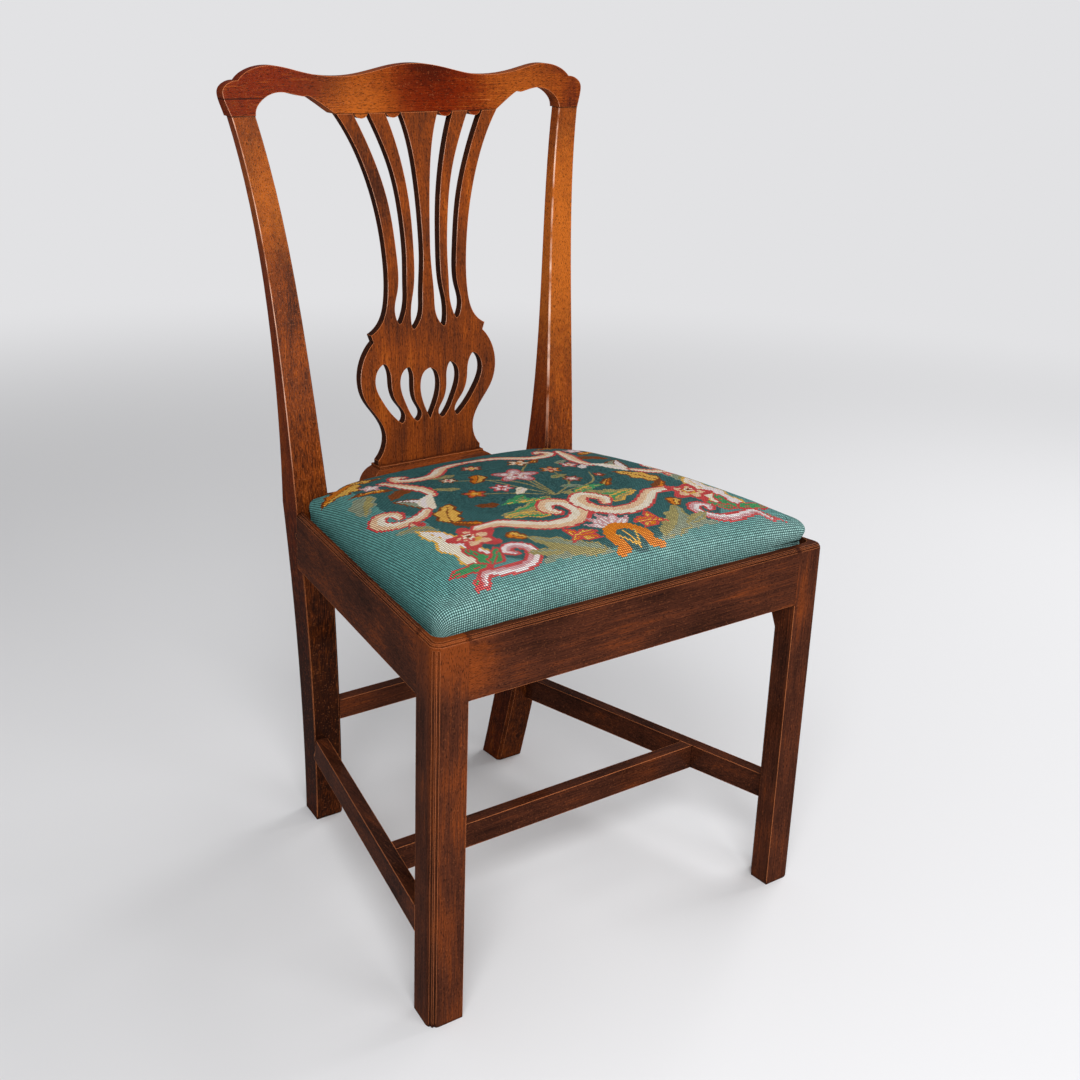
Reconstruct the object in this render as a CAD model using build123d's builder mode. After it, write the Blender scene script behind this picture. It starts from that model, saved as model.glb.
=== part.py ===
from build123d import *
import os
from math import cos, hypot, radians, sin

os.makedirs("parts", exist_ok=True)

# Seat frame, in millimetres
front_width = 540.0
rail_post_step = 0.3
seat_depth = 400.0
rail_top = 451.0
rail_height = 70.0
front_rail_thickness = 30.0
side_rail_thickness = 28.0
rear_rail_setback = 4.0
front_lip = 12.5
side_lip = 8.0
rear_ledge = 6.0
rebate_depth = 18.0
well_corner_radius = 12.0

# Moulded top edge of the seat frame: a round with two fine grooves
top_round = 7.0
groove_radius = 0.9
groove_angles = (30.0, 62.0)

# Front legs
leg_size = 42.0
leg_corner_radius = 11.0
reed_angles = (32.0, 58.0)
reed_groove_radius = 1.3
leg_chamfer = 15.0
leg_chamfer_drop = 40.0
leg_chamfer_runout = 34.0

# Back posts
head_height = 899.0
foot_half_span = 165.6
seat_half_span = 205.7
head_half_span = 239.5
post_foot_width = 39.5
post_seat_width = 45.0
post_head_width = 29.0
post_foot_depth = 40.0
post_seat_depth = 49.0
post_head_depth = 20.0
leg_rake = 40.5
back_lean = 65.0
back_bow = 5.0
post_side_draw = 0.13
post_arris = 0.8
post_front_chamfer = 4.0
post_back_chamfer = 3.0
post_back_arris = 1.2

# Crest rail
crest_centre_rise = 54.5
crest_dip_rise = 40.8
crest_hump_rise = 53.2
crest_hump_x = 187.0
crest_tilt = 0.153
crest_back_tilt = 0.02
crest_bow = 3.7
ear_reach = 7.0
ear_rise = 28.0
arch_rise = 24.8
splat_head_half = 111.0
pendant_drop = 5.6

# Splat and its shoe
splat_thickness = 11.0
splat_foot_setback = 30.5
splat_sagitta = 7.5
splat_foot_half = 75.5
splat_foot_tenon = 20.0
splat_tenon_shoulder = 9.5
splat_head_tenon = 12.0
splat_head_tenon_thickness = 7.0
slot_overrun = 2.0
shoe_height = 29.0
shoe_bead = 3.0
shoe_top_half = 77.0
shoe_flare = 18.0
shoe_cove = 13.0
shoe_toe_height = 3.0
shoe_cove_hollow = 4.0
shoe_end_hollow = 5.0

# Stretchers
stretcher_bottom = 99.0
stretcher_height = 32.0
stretcher_thickness = 16.0
cross_stretcher_front = 147.0
rear_stretcher_bottom = 151.0
rear_stretcher_height = 27.0
rear_stretcher_inset = 3.0

# Joints
rail_tenon_thickness = 10.0
rail_tenon_inset = 9.0
rail_tenon_margin = 8.0
tenon_clearance = 1.0
front_tenon_length = 18.0
post_tenon_length = 24.0
rear_tenon_length = 14.0
stretcher_tenon_thickness = 8.0
stretcher_tenon_length = 15.0
stretcher_tenon_margin = 4.0
cross_tenon_length = 8.0
crest_tenon_length = 18.0
crest_tenon_margin = 7.0
peg_diameter = 7.0
peg_setback = 10.0
peg_depth = 30.0
peg_end_margin = 11.0
block_leg = 45.0
block_height = 40.0
block_drop = 6.0

# Drop-in seat
seat_gap = 4.5
seat_rest_gap = 0.3
cover_thickness = 2.0
cover_turn_in = 24.0
seat_frame_width = 50.0
seat_frame_thickness = 16.0
seat_frame_tenon = 20.0
seat_corner_radius = 20.0
webbing_width = 50.0
webbing_thickness = 1.2
webbing_inset = 8.0
webbing_pitch_x = 92.0
webbing_pitch_y = 84.0
hessian_thickness = 0.8
hessian_inset = 6.0
crown_top = 489.0
crown_radius_across = 4200.0
crown_radius_along = 2100.0
crown_forward = 16.25
crown_edge_radius = 17.0
side_draw_angle = 3.0
tack_head_radius = 3.0
tack_head_height = 1.0
tack_shank_radius = 0.9
tack_shank_length = 10.0
tack_inset = 18.0

# Heights and reaches that follow from the sizes above
rail_bottom = rail_top - rail_height
ledge = rail_top - rebate_depth
leg_inner = front_width / 2 - leg_size
side_splay = (front_width / 2 - seat_half_span - rail_post_step) / seat_depth
head_front = seat_depth + back_lean
crest_front = head_front - crest_bow
crest_thickness = post_head_depth
post_head_middle = head_half_span - post_head_width / 2
overall_depth = head_front + crest_thickness + crest_back_tilt * crest_centre_rise
front_y = -overall_depth / 2
shoe_top = rail_top + shoe_height
rear_rail_front = seat_depth + rear_rail_setback
rear_rail_back = seat_depth + post_seat_depth - post_back_chamfer
well_back = rear_rail_front + rear_ledge
crown_middle = (front_lip + well_back) / 2 - crown_forward
splat_foot_front = seat_depth + splat_foot_setback
tenon_bottom = rail_bottom + rail_tenon_margin
tenon_height = ledge - rail_tenon_margin / 2 - tenon_bottom

# Working planes: seen from above, from the right and from the front,
# each measured from the middle of the front rail's face
plan = Plane((0, front_y, 0))
side = Plane(origin=(0, front_y, 0), x_dir=(0, 1, 0), z_dir=(1, 0, 0))
front = Plane(origin=(0, front_y, 0), x_dir=(1, 0, 0), z_dir=(0, -1, 0))
through = 2 * overall_depth


# Half width of the chair at a distance behind the front face, less an inset square to the side
def side_line(distance, inset=0.0):
    return front_width / 2 - side_splay * distance - inset * hypot(1, side_splay)


# Share of the way from the seat to the head of a post
def rise(z):
    return (z - rail_top) / (head_height - rail_top)


def post_front(z):
    if z < rail_top:
        return seat_depth + leg_rake * ((rail_top - z) / rail_top) ** 2
    return seat_depth + back_lean * rise(z) - 4 * back_bow * rise(z) * (1 - rise(z))


def post_outer(z):
    if z < rail_top:
        return foot_half_span + (seat_half_span - foot_half_span) * z / rail_top
    return seat_half_span + (head_half_span - seat_half_span) * (0.35 * rise(z) + 0.65 * rise(z) ** 4)


def post_width(z):
    if z < rail_top:
        return post_foot_width + (post_seat_width - post_foot_width) * (z / rail_top) ** 4
    return post_head_width + (post_seat_width - post_head_width) * (1 - rise(z)) ** 1.4


def post_depth(z):
    if z < rail_top:
        return post_foot_depth + (post_seat_depth - post_foot_depth) * z / rail_top
    return post_head_depth + (post_seat_depth - post_head_depth) * (1 - rise(z)) ** 3


def post_inner(z):
    return post_outer(z) - post_width(z)


# Corners of a post's section, from the front outer corner and round by the back
def post_section(z):
    outer = post_outer(z)
    inner = post_inner(z)
    face = post_front(z)
    back = face + post_depth(z)
    front_cut = post_front_chamfer * (1 - 0.7 * z / head_height)
    back_cut = post_back_chamfer * (0.5 + z / head_height)
    outer_back = outer - post_side_draw * post_depth(z)
    return (
        (outer - post_side_draw * post_arris, face + post_arris),
        (outer_back + post_side_draw * post_back_arris, back - post_back_arris),
        (outer_back - post_back_arris, back),
        (inner + back_cut, back),
        (inner, back - back_cut),
        (inner, face + front_cut),
        (inner + front_cut, face),
        (outer - post_arris, face),
    )


# Blanks shared by the pieces and the pockets that receive them
with BuildPart() as post_blank:
    for share in (0.0, 0.4, 0.75, 1.0):
        with BuildSketch(plan.offset(share * rail_top)):
            with BuildLine():
                Polyline(*post_section(share * rail_top), close=True)
            make_face()
    loft()
    for share in (0.0, 0.2, 0.45, 0.72, 1.0):
        height = rail_top + share * (head_height - rail_top)
        with BuildSketch(plan.offset(height)):
            with BuildLine():
                Polyline(*post_section(height), close=True)
            make_face()
    loft()

with BuildPart() as seat_well:
    with BuildSketch(plan.offset(ledge)) as well_outline:
        with BuildLine():
            Polyline(
                (-side_line(front_lip, side_lip), front_lip),
                (side_line(front_lip, side_lip), front_lip),
                (side_line(well_back, side_lip), well_back),
                (-side_line(well_back, side_lip), well_back),
                close=True,
            )
        make_face()
        fillet(well_outline.vertices().sort_by(Axis.Y)[:2], well_corner_radius)
    extrude(amount=rebate_depth + top_round)

with BuildPart() as front_rail_core:
    with BuildSketch(plan.offset(tenon_bottom)):
        with Locations((0, rail_tenon_inset + rail_tenon_thickness / 2)):
            Rectangle(2 * (leg_inner + front_tenon_length), rail_tenon_thickness)
    extrude(amount=tenon_height)

side_core_start = rail_tenon_inset + rail_tenon_thickness + tenon_clearance
side_core_end = seat_depth + post_tenon_length
side_core_outer = rail_tenon_inset
side_core_inner = rail_tenon_inset + rail_tenon_thickness
with BuildPart() as side_rail_core:
    with BuildSketch(plan.offset(tenon_bottom)):
        with BuildLine():
            Polyline(
                (side_line(side_core_start, side_core_outer), side_core_start),
                (side_line(side_core_end, side_core_outer), side_core_end),
                (side_line(side_core_end, side_core_inner), side_core_end),
                (side_line(side_core_start, side_core_inner), side_core_start),
                close=True,
            )
        make_face()
    extrude(amount=tenon_height)

rear_core_middle = (rear_rail_front + rear_rail_back) / 2
with BuildPart() as rear_rail_core:
    with BuildSketch(plan.offset(tenon_bottom)):
        with Locations((0, rear_core_middle)):
            Rectangle(2 * (post_inner(rail_bottom) + rear_tenon_length), rail_tenon_thickness)
    extrude(amount=tenon_height)

# Side stretchers run from the front leg's outer face to the rear leg's outer face
stretcher_middle = stretcher_bottom + stretcher_height / 2
stretcher_start_x = side_line(leg_size)
stretcher_end_y = post_front(stretcher_middle)
stretcher_slope = (stretcher_start_x - post_outer(stretcher_middle)) / (stretcher_end_y - leg_size)


def stretcher_line(distance, inset=0.0):
    run = stretcher_slope * (distance - leg_size)
    return stretcher_start_x - run - inset * hypot(1, stretcher_slope)


stretcher_core_outer = (stretcher_thickness - stretcher_tenon_thickness) / 2
stretcher_core_inner = stretcher_core_outer + stretcher_tenon_thickness
stretcher_core_start = leg_size - stretcher_tenon_length
stretcher_core_end = stretcher_end_y + stretcher_tenon_length
stretcher_core_height = stretcher_height - 2 * stretcher_tenon_margin
with BuildPart() as side_stretcher_core:
    with BuildSketch(plan.offset(stretcher_bottom + stretcher_tenon_margin)):
        with BuildLine():
            Polyline(
                (stretcher_line(stretcher_core_start, stretcher_core_outer), stretcher_core_start),
                (stretcher_line(stretcher_core_end, stretcher_core_outer), stretcher_core_end),
                (stretcher_line(stretcher_core_end, stretcher_core_inner), stretcher_core_end),
                (stretcher_line(stretcher_core_start, stretcher_core_inner), stretcher_core_start),
                close=True,
            )
        make_face()
    extrude(amount=stretcher_core_height)

cross_middle = cross_stretcher_front + stretcher_thickness / 2
cross_half = stretcher_line(cross_middle, stretcher_thickness)
with BuildPart() as cross_stretcher_core:
    with BuildSketch(plan.offset(stretcher_bottom + stretcher_tenon_margin)):
        with Locations((0, cross_middle)):
            Rectangle(2 * (cross_half + cross_tenon_length), stretcher_tenon_thickness)
    extrude(amount=stretcher_core_height)

rear_stretcher_front = post_front(rear_stretcher_bottom) + rear_stretcher_inset
rear_stretcher_middle = rear_stretcher_front + stretcher_thickness / 2
rear_stretcher_half = post_inner(rear_stretcher_bottom)
with BuildPart() as rear_stretcher_core:
    with BuildSketch(plan.offset(rear_stretcher_bottom + stretcher_tenon_margin)):
        with Locations((0, rear_stretcher_middle)):
            Rectangle(2 * (rear_stretcher_half + stretcher_tenon_length), stretcher_tenon_thickness)
    extrude(amount=rear_stretcher_height - 2 * stretcher_tenon_margin)

with BuildPart() as crest_tenon:
    with BuildSketch(plan.offset(head_height)):
        with Locations((post_head_middle, head_front + post_head_depth / 2)):
            Rectangle(post_head_width - 2 * crest_tenon_margin, post_head_depth - 2 * crest_tenon_margin)
    extrude(amount=crest_tenon_length)

with BuildPart() as splat_tenon:
    with BuildSketch(plan.offset(head_height)):
        with Locations((0, crest_front + splat_thickness / 2 + crest_tilt * splat_head_tenon / 2)):
            Rectangle(2 * (splat_head_half - splat_tenon_shoulder), splat_head_tenon_thickness)
    extrude(amount=splat_head_tenon)

with BuildPart() as splat_foot:
    with BuildSketch(plan.offset(shoe_top - splat_foot_tenon)):
        with Locations((0, splat_foot_front + splat_thickness / 2)):
            Rectangle(2 * (splat_foot_half - splat_tenon_shoulder), splat_thickness)
    extrude(amount=splat_foot_tenon)

# Pegs driven through the posts into the side rails' tenons
with BuildPart() as right_pegs:
    with BuildSketch(side.offset(seat_half_span - peg_depth)):
        with Locations(
            (seat_depth + peg_setback, tenon_bottom + peg_end_margin),
            (seat_depth + peg_setback, tenon_bottom + tenon_height - peg_end_margin),
        ):
            Circle(peg_diameter / 2)
    extrude(amount=2 * peg_depth)
    add(post_blank.part, mode=Mode.INTERSECT)

with BuildPart() as joint_pegs:
    add(right_pegs.part)
    mirror(about=Plane.YZ)

# Back posts, each in one piece from foot to crest
with BuildPart() as back_post_right:
    add(post_blank.part)
    add(crest_tenon.part)
    add(side_rail_core.part, mode=Mode.SUBTRACT)
    add(rear_rail_core.part, mode=Mode.SUBTRACT)
    add(side_stretcher_core.part, mode=Mode.SUBTRACT)
    add(rear_stretcher_core.part, mode=Mode.SUBTRACT)
    add(right_pegs.part, mode=Mode.SUBTRACT)

with BuildPart() as back_post_left:
    add(back_post_right.part)
    mirror(about=Plane.YZ, mode=Mode.REPLACE)

# Grooves of the moulded edge, measured inward from the outer face and up from the rail's top
groove_spots = [
    (top_round * (1 - cos(radians(angle))), -top_round * (1 - sin(radians(angle)))) for angle in groove_angles
]

# Front legs: rounded and reeded outer corner, chamfered inner corner
chamfer_end = rail_bottom - leg_chamfer_drop + leg_chamfer_runout
chamfer_full = rail_bottom - leg_chamfer_drop


def chamfer_triangle(size):
    return (
        (leg_inner - 1, leg_size - size - 1),
        (leg_inner + size + 1, leg_size + 1),
        (leg_inner - 1, leg_size + 1),
    )


reed_centre = (side_line(leg_corner_radius, leg_corner_radius), leg_corner_radius)
with BuildPart() as front_leg_right:
    with BuildSketch(plan) as leg_section:
        with BuildLine():
            Polyline(
                (front_width / 2, 0),
                (side_line(leg_size), leg_size),
                (leg_inner, leg_size),
                (leg_inner, 0),
                close=True,
            )
        make_face()
        fillet(leg_section.vertices().sort_by_distance((front_width / 2, 0, 0))[0], leg_corner_radius)
    extrude(amount=rail_top)
    with BuildLine(plan.offset(rail_top)) as leg_edge:
        FilletPolyline(
            (leg_inner - 1, 0),
            (front_width / 2, 0),
            (side_line(leg_size + 1), leg_size + 1),
            radius=leg_corner_radius,
        )
    with BuildSketch(Plane(leg_edge.line @ 0, x_dir=(0, 1, 0), z_dir=leg_edge.line % 0)):
        with BuildLine():
            edge_round = ThreePointArc(
                (0, -top_round),
                (top_round * (1 - cos(radians(45))), -top_round * (1 - sin(radians(45)))),
                (top_round, 0),
            )
            Polyline(edge_round @ 1, (top_round, 1), (-1, 1), (-1, -top_round), edge_round @ 0)
        make_face()
        with Locations(*groove_spots):
            Circle(groove_radius)
    sweep(path=leg_edge.line, mode=Mode.SUBTRACT)
    with BuildSketch(plan):
        for angle in reed_angles:
            with Locations(
                (
                    reed_centre[0] + leg_corner_radius * cos(radians(angle)),
                    reed_centre[1] - leg_corner_radius * sin(radians(angle)),
                )
            ):
                Circle(reed_groove_radius)
    extrude(amount=rail_top - top_round - groove_radius, mode=Mode.SUBTRACT)
    with BuildSketch(plan):
        with BuildLine():
            Polyline(*chamfer_triangle(leg_chamfer), close=True)
        make_face()
    extrude(amount=chamfer_full, mode=Mode.SUBTRACT)
    with BuildSketch(plan.offset(chamfer_full)):
        with BuildLine():
            Polyline(*chamfer_triangle(leg_chamfer), close=True)
        make_face()
    with BuildSketch(plan.offset(chamfer_end)):
        with BuildLine():
            Polyline(*chamfer_triangle(0), close=True)
        make_face()
    loft(mode=Mode.SUBTRACT)
    add(seat_well.part, mode=Mode.SUBTRACT)
    add(front_rail_core.part, mode=Mode.SUBTRACT)
    add(side_rail_core.part, mode=Mode.SUBTRACT)
    add(side_stretcher_core.part, mode=Mode.SUBTRACT)

with BuildPart() as front_leg_left:
    add(front_leg_right.part)
    mirror(about=Plane.YZ, mode=Mode.REPLACE)

rail_groove_spots = [(inset, rail_top + drop) for inset, drop in groove_spots]

# Seat rails
with BuildPart() as front_seat_rail:
    with BuildSketch(side) as front_profile:
        with BuildLine():
            Polyline(
                (0, rail_bottom),
                (front_rail_thickness, rail_bottom),
                (front_rail_thickness, rail_top),
                (0, rail_top),
                close=True,
            )
        make_face()
        fillet(front_profile.vertices().sort_by_distance((0, rail_top, 0))[0], top_round)
        with Locations(*rail_groove_spots):
            Circle(groove_radius, mode=Mode.SUBTRACT)
    extrude(amount=leg_inner, both=True)
    add(seat_well.part, mode=Mode.SUBTRACT)
    add(front_rail_core.part)

across_side_rail = Plane(
    origin=(front_width / 2, front_y, 0),
    x_dir=(-1, -side_splay, 0),
    z_dir=(-side_splay, 1, 0),
)
with BuildPart() as side_seat_rail_right:
    with BuildSketch(across_side_rail) as side_profile:
        with BuildLine():
            Polyline(
                (0, rail_bottom),
                (side_rail_thickness, rail_bottom),
                (side_rail_thickness, rail_top),
                (0, rail_top),
                close=True,
            )
        make_face()
        fillet(side_profile.vertices().sort_by_distance((0, rail_top, 0))[0], top_round)
        with Locations(*rail_groove_spots):
            Circle(groove_radius, mode=Mode.SUBTRACT)
    extrude(amount=seat_depth + post_tenon_length)
    split(bisect_by=Plane(origin=(0, front_y + leg_size, 0), z_dir=(0, 1, 0)))
    split(
        bisect_by=Plane(origin=(0, front_y + post_front(rail_bottom), 0), z_dir=(0, 1, 0)),
        keep=Keep.BOTTOM,
    )
    add(post_blank.part, mode=Mode.SUBTRACT)
    add(seat_well.part, mode=Mode.SUBTRACT)
    add(side_rail_core.part)
    add(right_pegs.part, mode=Mode.SUBTRACT)

with BuildPart() as side_seat_rail_left:
    add(side_seat_rail_right.part)
    mirror(about=Plane.YZ, mode=Mode.REPLACE)

with BuildPart() as both_post_blanks:
    add(post_blank.part)
    mirror(about=Plane.YZ)

with BuildPart() as rear_seat_rail:
    with BuildSketch(plan.offset(rail_bottom)):
        with Locations((0, rear_core_middle)):
            Rectangle(2 * (post_inner(rail_top) + post_back_chamfer), rear_rail_back - rear_rail_front)
    extrude(amount=rail_height)
    add(seat_well.part, mode=Mode.SUBTRACT)
    add(both_post_blanks.part, mode=Mode.SUBTRACT)
    add(rear_rail_core.part)

# Stretchers
stretcher_stop = stretcher_end_y + stretcher_tenon_length / 2
with BuildPart() as side_stretcher_right:
    with BuildSketch(plan.offset(stretcher_bottom)):
        with BuildLine():
            Polyline(
                (stretcher_line(leg_size), leg_size),
                (stretcher_line(stretcher_stop), stretcher_stop),
                (stretcher_line(stretcher_stop, stretcher_thickness), stretcher_stop),
                (stretcher_line(leg_size, stretcher_thickness), leg_size),
                close=True,
            )
        make_face()
    extrude(amount=stretcher_height)
    add(post_blank.part, mode=Mode.SUBTRACT)
    add(side_stretcher_core.part)
    add(cross_stretcher_core.part, mode=Mode.SUBTRACT)

with BuildPart() as side_stretcher_left:
    add(side_stretcher_right.part)
    mirror(about=Plane.YZ, mode=Mode.REPLACE)

cross_back = cross_stretcher_front + stretcher_thickness
with BuildPart() as cross_stretcher:
    with BuildSketch(plan.offset(stretcher_bottom)):
        with BuildLine():
            Polyline(
                (stretcher_line(cross_stretcher_front, stretcher_thickness), cross_stretcher_front),
                (stretcher_line(cross_back, stretcher_thickness), cross_back),
                (-stretcher_line(cross_back, stretcher_thickness), cross_back),
                (-stretcher_line(cross_stretcher_front, stretcher_thickness), cross_stretcher_front),
                close=True,
            )
        make_face()
    extrude(amount=stretcher_height)
    add(cross_stretcher_core.part)

with BuildPart() as rear_stretcher:
    with BuildSketch(plan.offset(rear_stretcher_bottom)):
        with Locations((0, rear_stretcher_middle)):
            Rectangle(2 * (rear_stretcher_half + stretcher_tenon_length / 2), stretcher_thickness)
    extrude(amount=rear_stretcher_height)
    add(both_post_blanks.part, mode=Mode.SUBTRACT)
    add(rear_stretcher_core.part)

# Crest rail: bowed at the front, flat at the back, thinner to the top and cut to the serpentine outline
crest_top = head_height + crest_centre_rise
crest_hump = head_height + crest_hump_rise
crest_dip = head_height + crest_dip_rise
crest_start = head_height - pendant_drop - 1
crest_shift = crest_front + crest_tilt * (crest_start - head_height)
crest_run = head_half_span + ear_reach + 10
crest_sweep = crest_bow * (crest_run / post_head_middle) ** 2
crest_end = crest_top + 2
post_head_inner = head_half_span - post_head_width
arch_crown = head_height + arch_rise
arch_span = post_head_inner - splat_head_half
crest_lower = head_height - pendant_drop


def crest_back(z):
    return head_front + crest_thickness + crest_back_tilt * (z - head_height)


with BuildPart() as crest_rail:
    with BuildSketch(plan.offset(crest_start)):
        with BuildLine():
            face_arc = ThreePointArc(
                (-crest_run, crest_shift + crest_sweep),
                (0, crest_shift),
                (crest_run, crest_shift + crest_sweep),
            )
            Polyline(face_arc @ 1, (crest_run, through), (-crest_run, through), face_arc @ 0)
        make_face()
    extrude(amount=(crest_end - crest_start) * hypot(1, crest_tilt), dir=(0, crest_tilt, 1))
    with BuildSketch(side):
        with BuildLine():
            Polyline(
                (seat_depth, crest_start),
                (crest_back(crest_start), crest_start),
                (crest_back(crest_end), crest_end),
                (seat_depth, crest_end),
                close=True,
            )
        make_face()
    extrude(amount=crest_run, both=True, mode=Mode.INTERSECT)
    with BuildSketch(front):
        with BuildLine():
            crest_wave = Spline(
                (0, crest_top),
                (0.182 * crest_hump_x, crest_top - 3.5),
                (0.406 * crest_hump_x, crest_dip + 1.8),
                (0.578 * crest_hump_x, crest_dip),
                (0.807 * crest_hump_x, crest_dip + 5.6),
                (crest_hump_x, crest_hump),
                (head_half_span - 26.5, crest_hump - 4.7),
                (head_half_span - 11.5, crest_hump - 15.5),
                tangents=((1, 0), (0.62, -0.78)),
            )
            crest_ear = Spline(
                crest_wave @ 1,
                (head_half_span - 2.5, crest_hump - 17),
                (head_half_span + ear_reach, head_height + ear_rise),
                (head_half_span + ear_reach - 0.5, head_height + ear_rise - 10),
                (head_half_span, head_height),
            )
            crest_joint = Line(crest_ear @ 1, (post_head_inner, head_height))
            crest_arch = Spline(
                crest_joint @ 1,
                (post_head_inner - 5.5, head_height + 13.3),
                (splat_head_half + 0.683 * arch_span, arch_crown),
                (splat_head_half + 0.402 * arch_span, arch_crown - 4.8),
                (splat_head_half, head_height),
                tangents=((0, 1), (-0.83, -0.56)),
            )
            first_bar = Line(crest_arch @ 1, (0.793 * splat_head_half, head_height))
            first_pendant = ThreePointArc(
                first_bar @ 1,
                (0.710 * splat_head_half, crest_lower),
                (0.627 * splat_head_half, head_height),
            )
            second_bar = Line(first_pendant @ 1, (0.414 * splat_head_half, head_height))
            second_pendant = ThreePointArc(
                second_bar @ 1,
                (0.327 * splat_head_half, crest_lower),
                (0.240 * splat_head_half, head_height),
            )
            middle_bar = Line(second_pendant @ 1, (0, head_height))
            Line(middle_bar @ 1, crest_wave @ 0)
        make_face()
        mirror(about=Plane.YZ)
    extrude(amount=-through, mode=Mode.INTERSECT)
    add(crest_tenon.part, mode=Mode.SUBTRACT)
    add(splat_tenon.part, mode=Mode.SUBTRACT)
    mirror(crest_tenon.part, about=Plane.YZ, mode=Mode.SUBTRACT)

# Point of the splat's outline, as shares of its half width at the head and of its height
def splat_at(across, up):
    return (across * splat_head_half, shoe_top + up * (head_height - shoe_top))


# Splat: a slab bowed from foot to head, cut to the vase outline and pierced
slot_top = head_height + slot_overrun
with BuildPart() as splat:
    with BuildSketch(side):
        with BuildLine():
            splat_face = SagittaArc((splat_foot_front, shoe_top), (crest_front, head_height), splat_sagitta)
            splat_back = SagittaArc(
                (splat_foot_front + splat_thickness, shoe_top),
                (crest_front + splat_thickness, head_height),
                splat_sagitta,
            )
            Line(splat_face @ 0, splat_back @ 0)
            Line(splat_face @ 1, splat_back @ 1)
        make_face()
    extrude(amount=splat_head_half + 10, both=True)
    with BuildSketch(front):
        with BuildLine():
            vase_neck = Spline(
                (splat_head_half, head_height),
                splat_at(0.830, 0.926),
                splat_at(0.685, 0.834),
                splat_at(0.568, 0.716),
                splat_at(0.514, 0.604),
                splat_at(0.516, 0.496),
                splat_at(0.586, 0.427),
                splat_at(0.741, 0.390),
            )
            vase_notch = Line(vase_neck @ 1, splat_at(0.712, 0.369))
            vase_bulb = Spline(
                vase_notch @ 1,
                splat_at(0.850, 0.315),
                splat_at(0.887, 0.263),
                splat_at(0.840, 0.206),
                splat_at(0.676, 0.144),
                splat_at(0.581, 0.086),
                splat_at(0.598, 0.049),
                (splat_foot_half, shoe_top + 6),
            )
            vase_foot = Line(vase_bulb @ 1, (splat_foot_half, shoe_top))
            vase_base = Line(vase_foot @ 1, (0, shoe_top))
            vase_axis = Line(vase_base @ 1, (0, head_height))
            Line(vase_axis @ 1, vase_neck @ 0)
        make_face()
        with BuildLine():
            outer_slot = Spline(
                (0.820 * splat_head_half, slot_top),
                splat_at(0.613, 0.888),
                splat_at(0.459, 0.759),
                splat_at(0.387, 0.616),
                splat_at(0.394, 0.506),
                splat_at(0.427, 0.439),
                splat_at(0.373, 0.413),
                splat_at(0.314, 0.437),
                splat_at(0.273, 0.518),
                splat_at(0.265, 0.585),
                splat_at(0.285, 0.702),
                splat_at(0.375, 0.842),
                splat_at(0.528, 0.950),
                (0.626 * splat_head_half, slot_top),
            )
            Line(outer_slot @ 1, outer_slot @ 0)
        make_face(mode=Mode.SUBTRACT)
        with BuildLine():
            inner_slot = Spline(
                (0.432 * splat_head_half, slot_top),
                splat_at(0.281, 0.883),
                splat_at(0.196, 0.757),
                splat_at(0.168, 0.623),
                splat_at(0.187, 0.511),
                splat_at(0.231, 0.425),
                splat_at(0.196, 0.394),
                splat_at(0.138, 0.408),
                splat_at(0.076, 0.482),
                splat_at(0.048, 0.589),
                splat_at(0.048, 0.661),
                splat_at(0.082, 0.819),
                splat_at(0.167, 0.951),
                (0.239 * splat_head_half, slot_top),
            )
            Line(inner_slot @ 1, inner_slot @ 0)
        make_face(mode=Mode.SUBTRACT)
        with BuildLine():
            Spline(
                splat_at(0.605, 0.302),
                splat_at(0.685, 0.279),
                splat_at(0.703, 0.248),
                splat_at(0.611, 0.190),
                splat_at(0.421, 0.128),
                splat_at(0.356, 0.119),
                splat_at(0.333, 0.129),
                splat_at(0.430, 0.181),
                splat_at(0.500, 0.239),
                splat_at(0.528, 0.285),
                periodic=True,
            )
        make_face(mode=Mode.SUBTRACT)
        with BuildLine():
            Spline(
                splat_at(0.291, 0.284),
                splat_at(0.364, 0.267),
                splat_at(0.387, 0.239),
                splat_at(0.310, 0.171),
                splat_at(0.221, 0.129),
                splat_at(0.162, 0.118),
                splat_at(0.117, 0.130),
                splat_at(0.173, 0.171),
                splat_at(0.218, 0.234),
                splat_at(0.230, 0.267),
                periodic=True,
            )
        make_face(mode=Mode.SUBTRACT)
        with BuildLine():
            drop = Spline(
                splat_at(0, 0.274),
                splat_at(0.089, 0.260),
                splat_at(0.123, 0.234),
                splat_at(0.086, 0.169),
                splat_at(0, 0.119),
            )
            Line(drop @ 1, drop @ 0)
        make_face(mode=Mode.SUBTRACT)
        mirror(about=Plane.YZ)
    extrude(amount=-through, mode=Mode.INTERSECT)
    add(splat_tenon.part)
    add(splat_foot.part)

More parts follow.
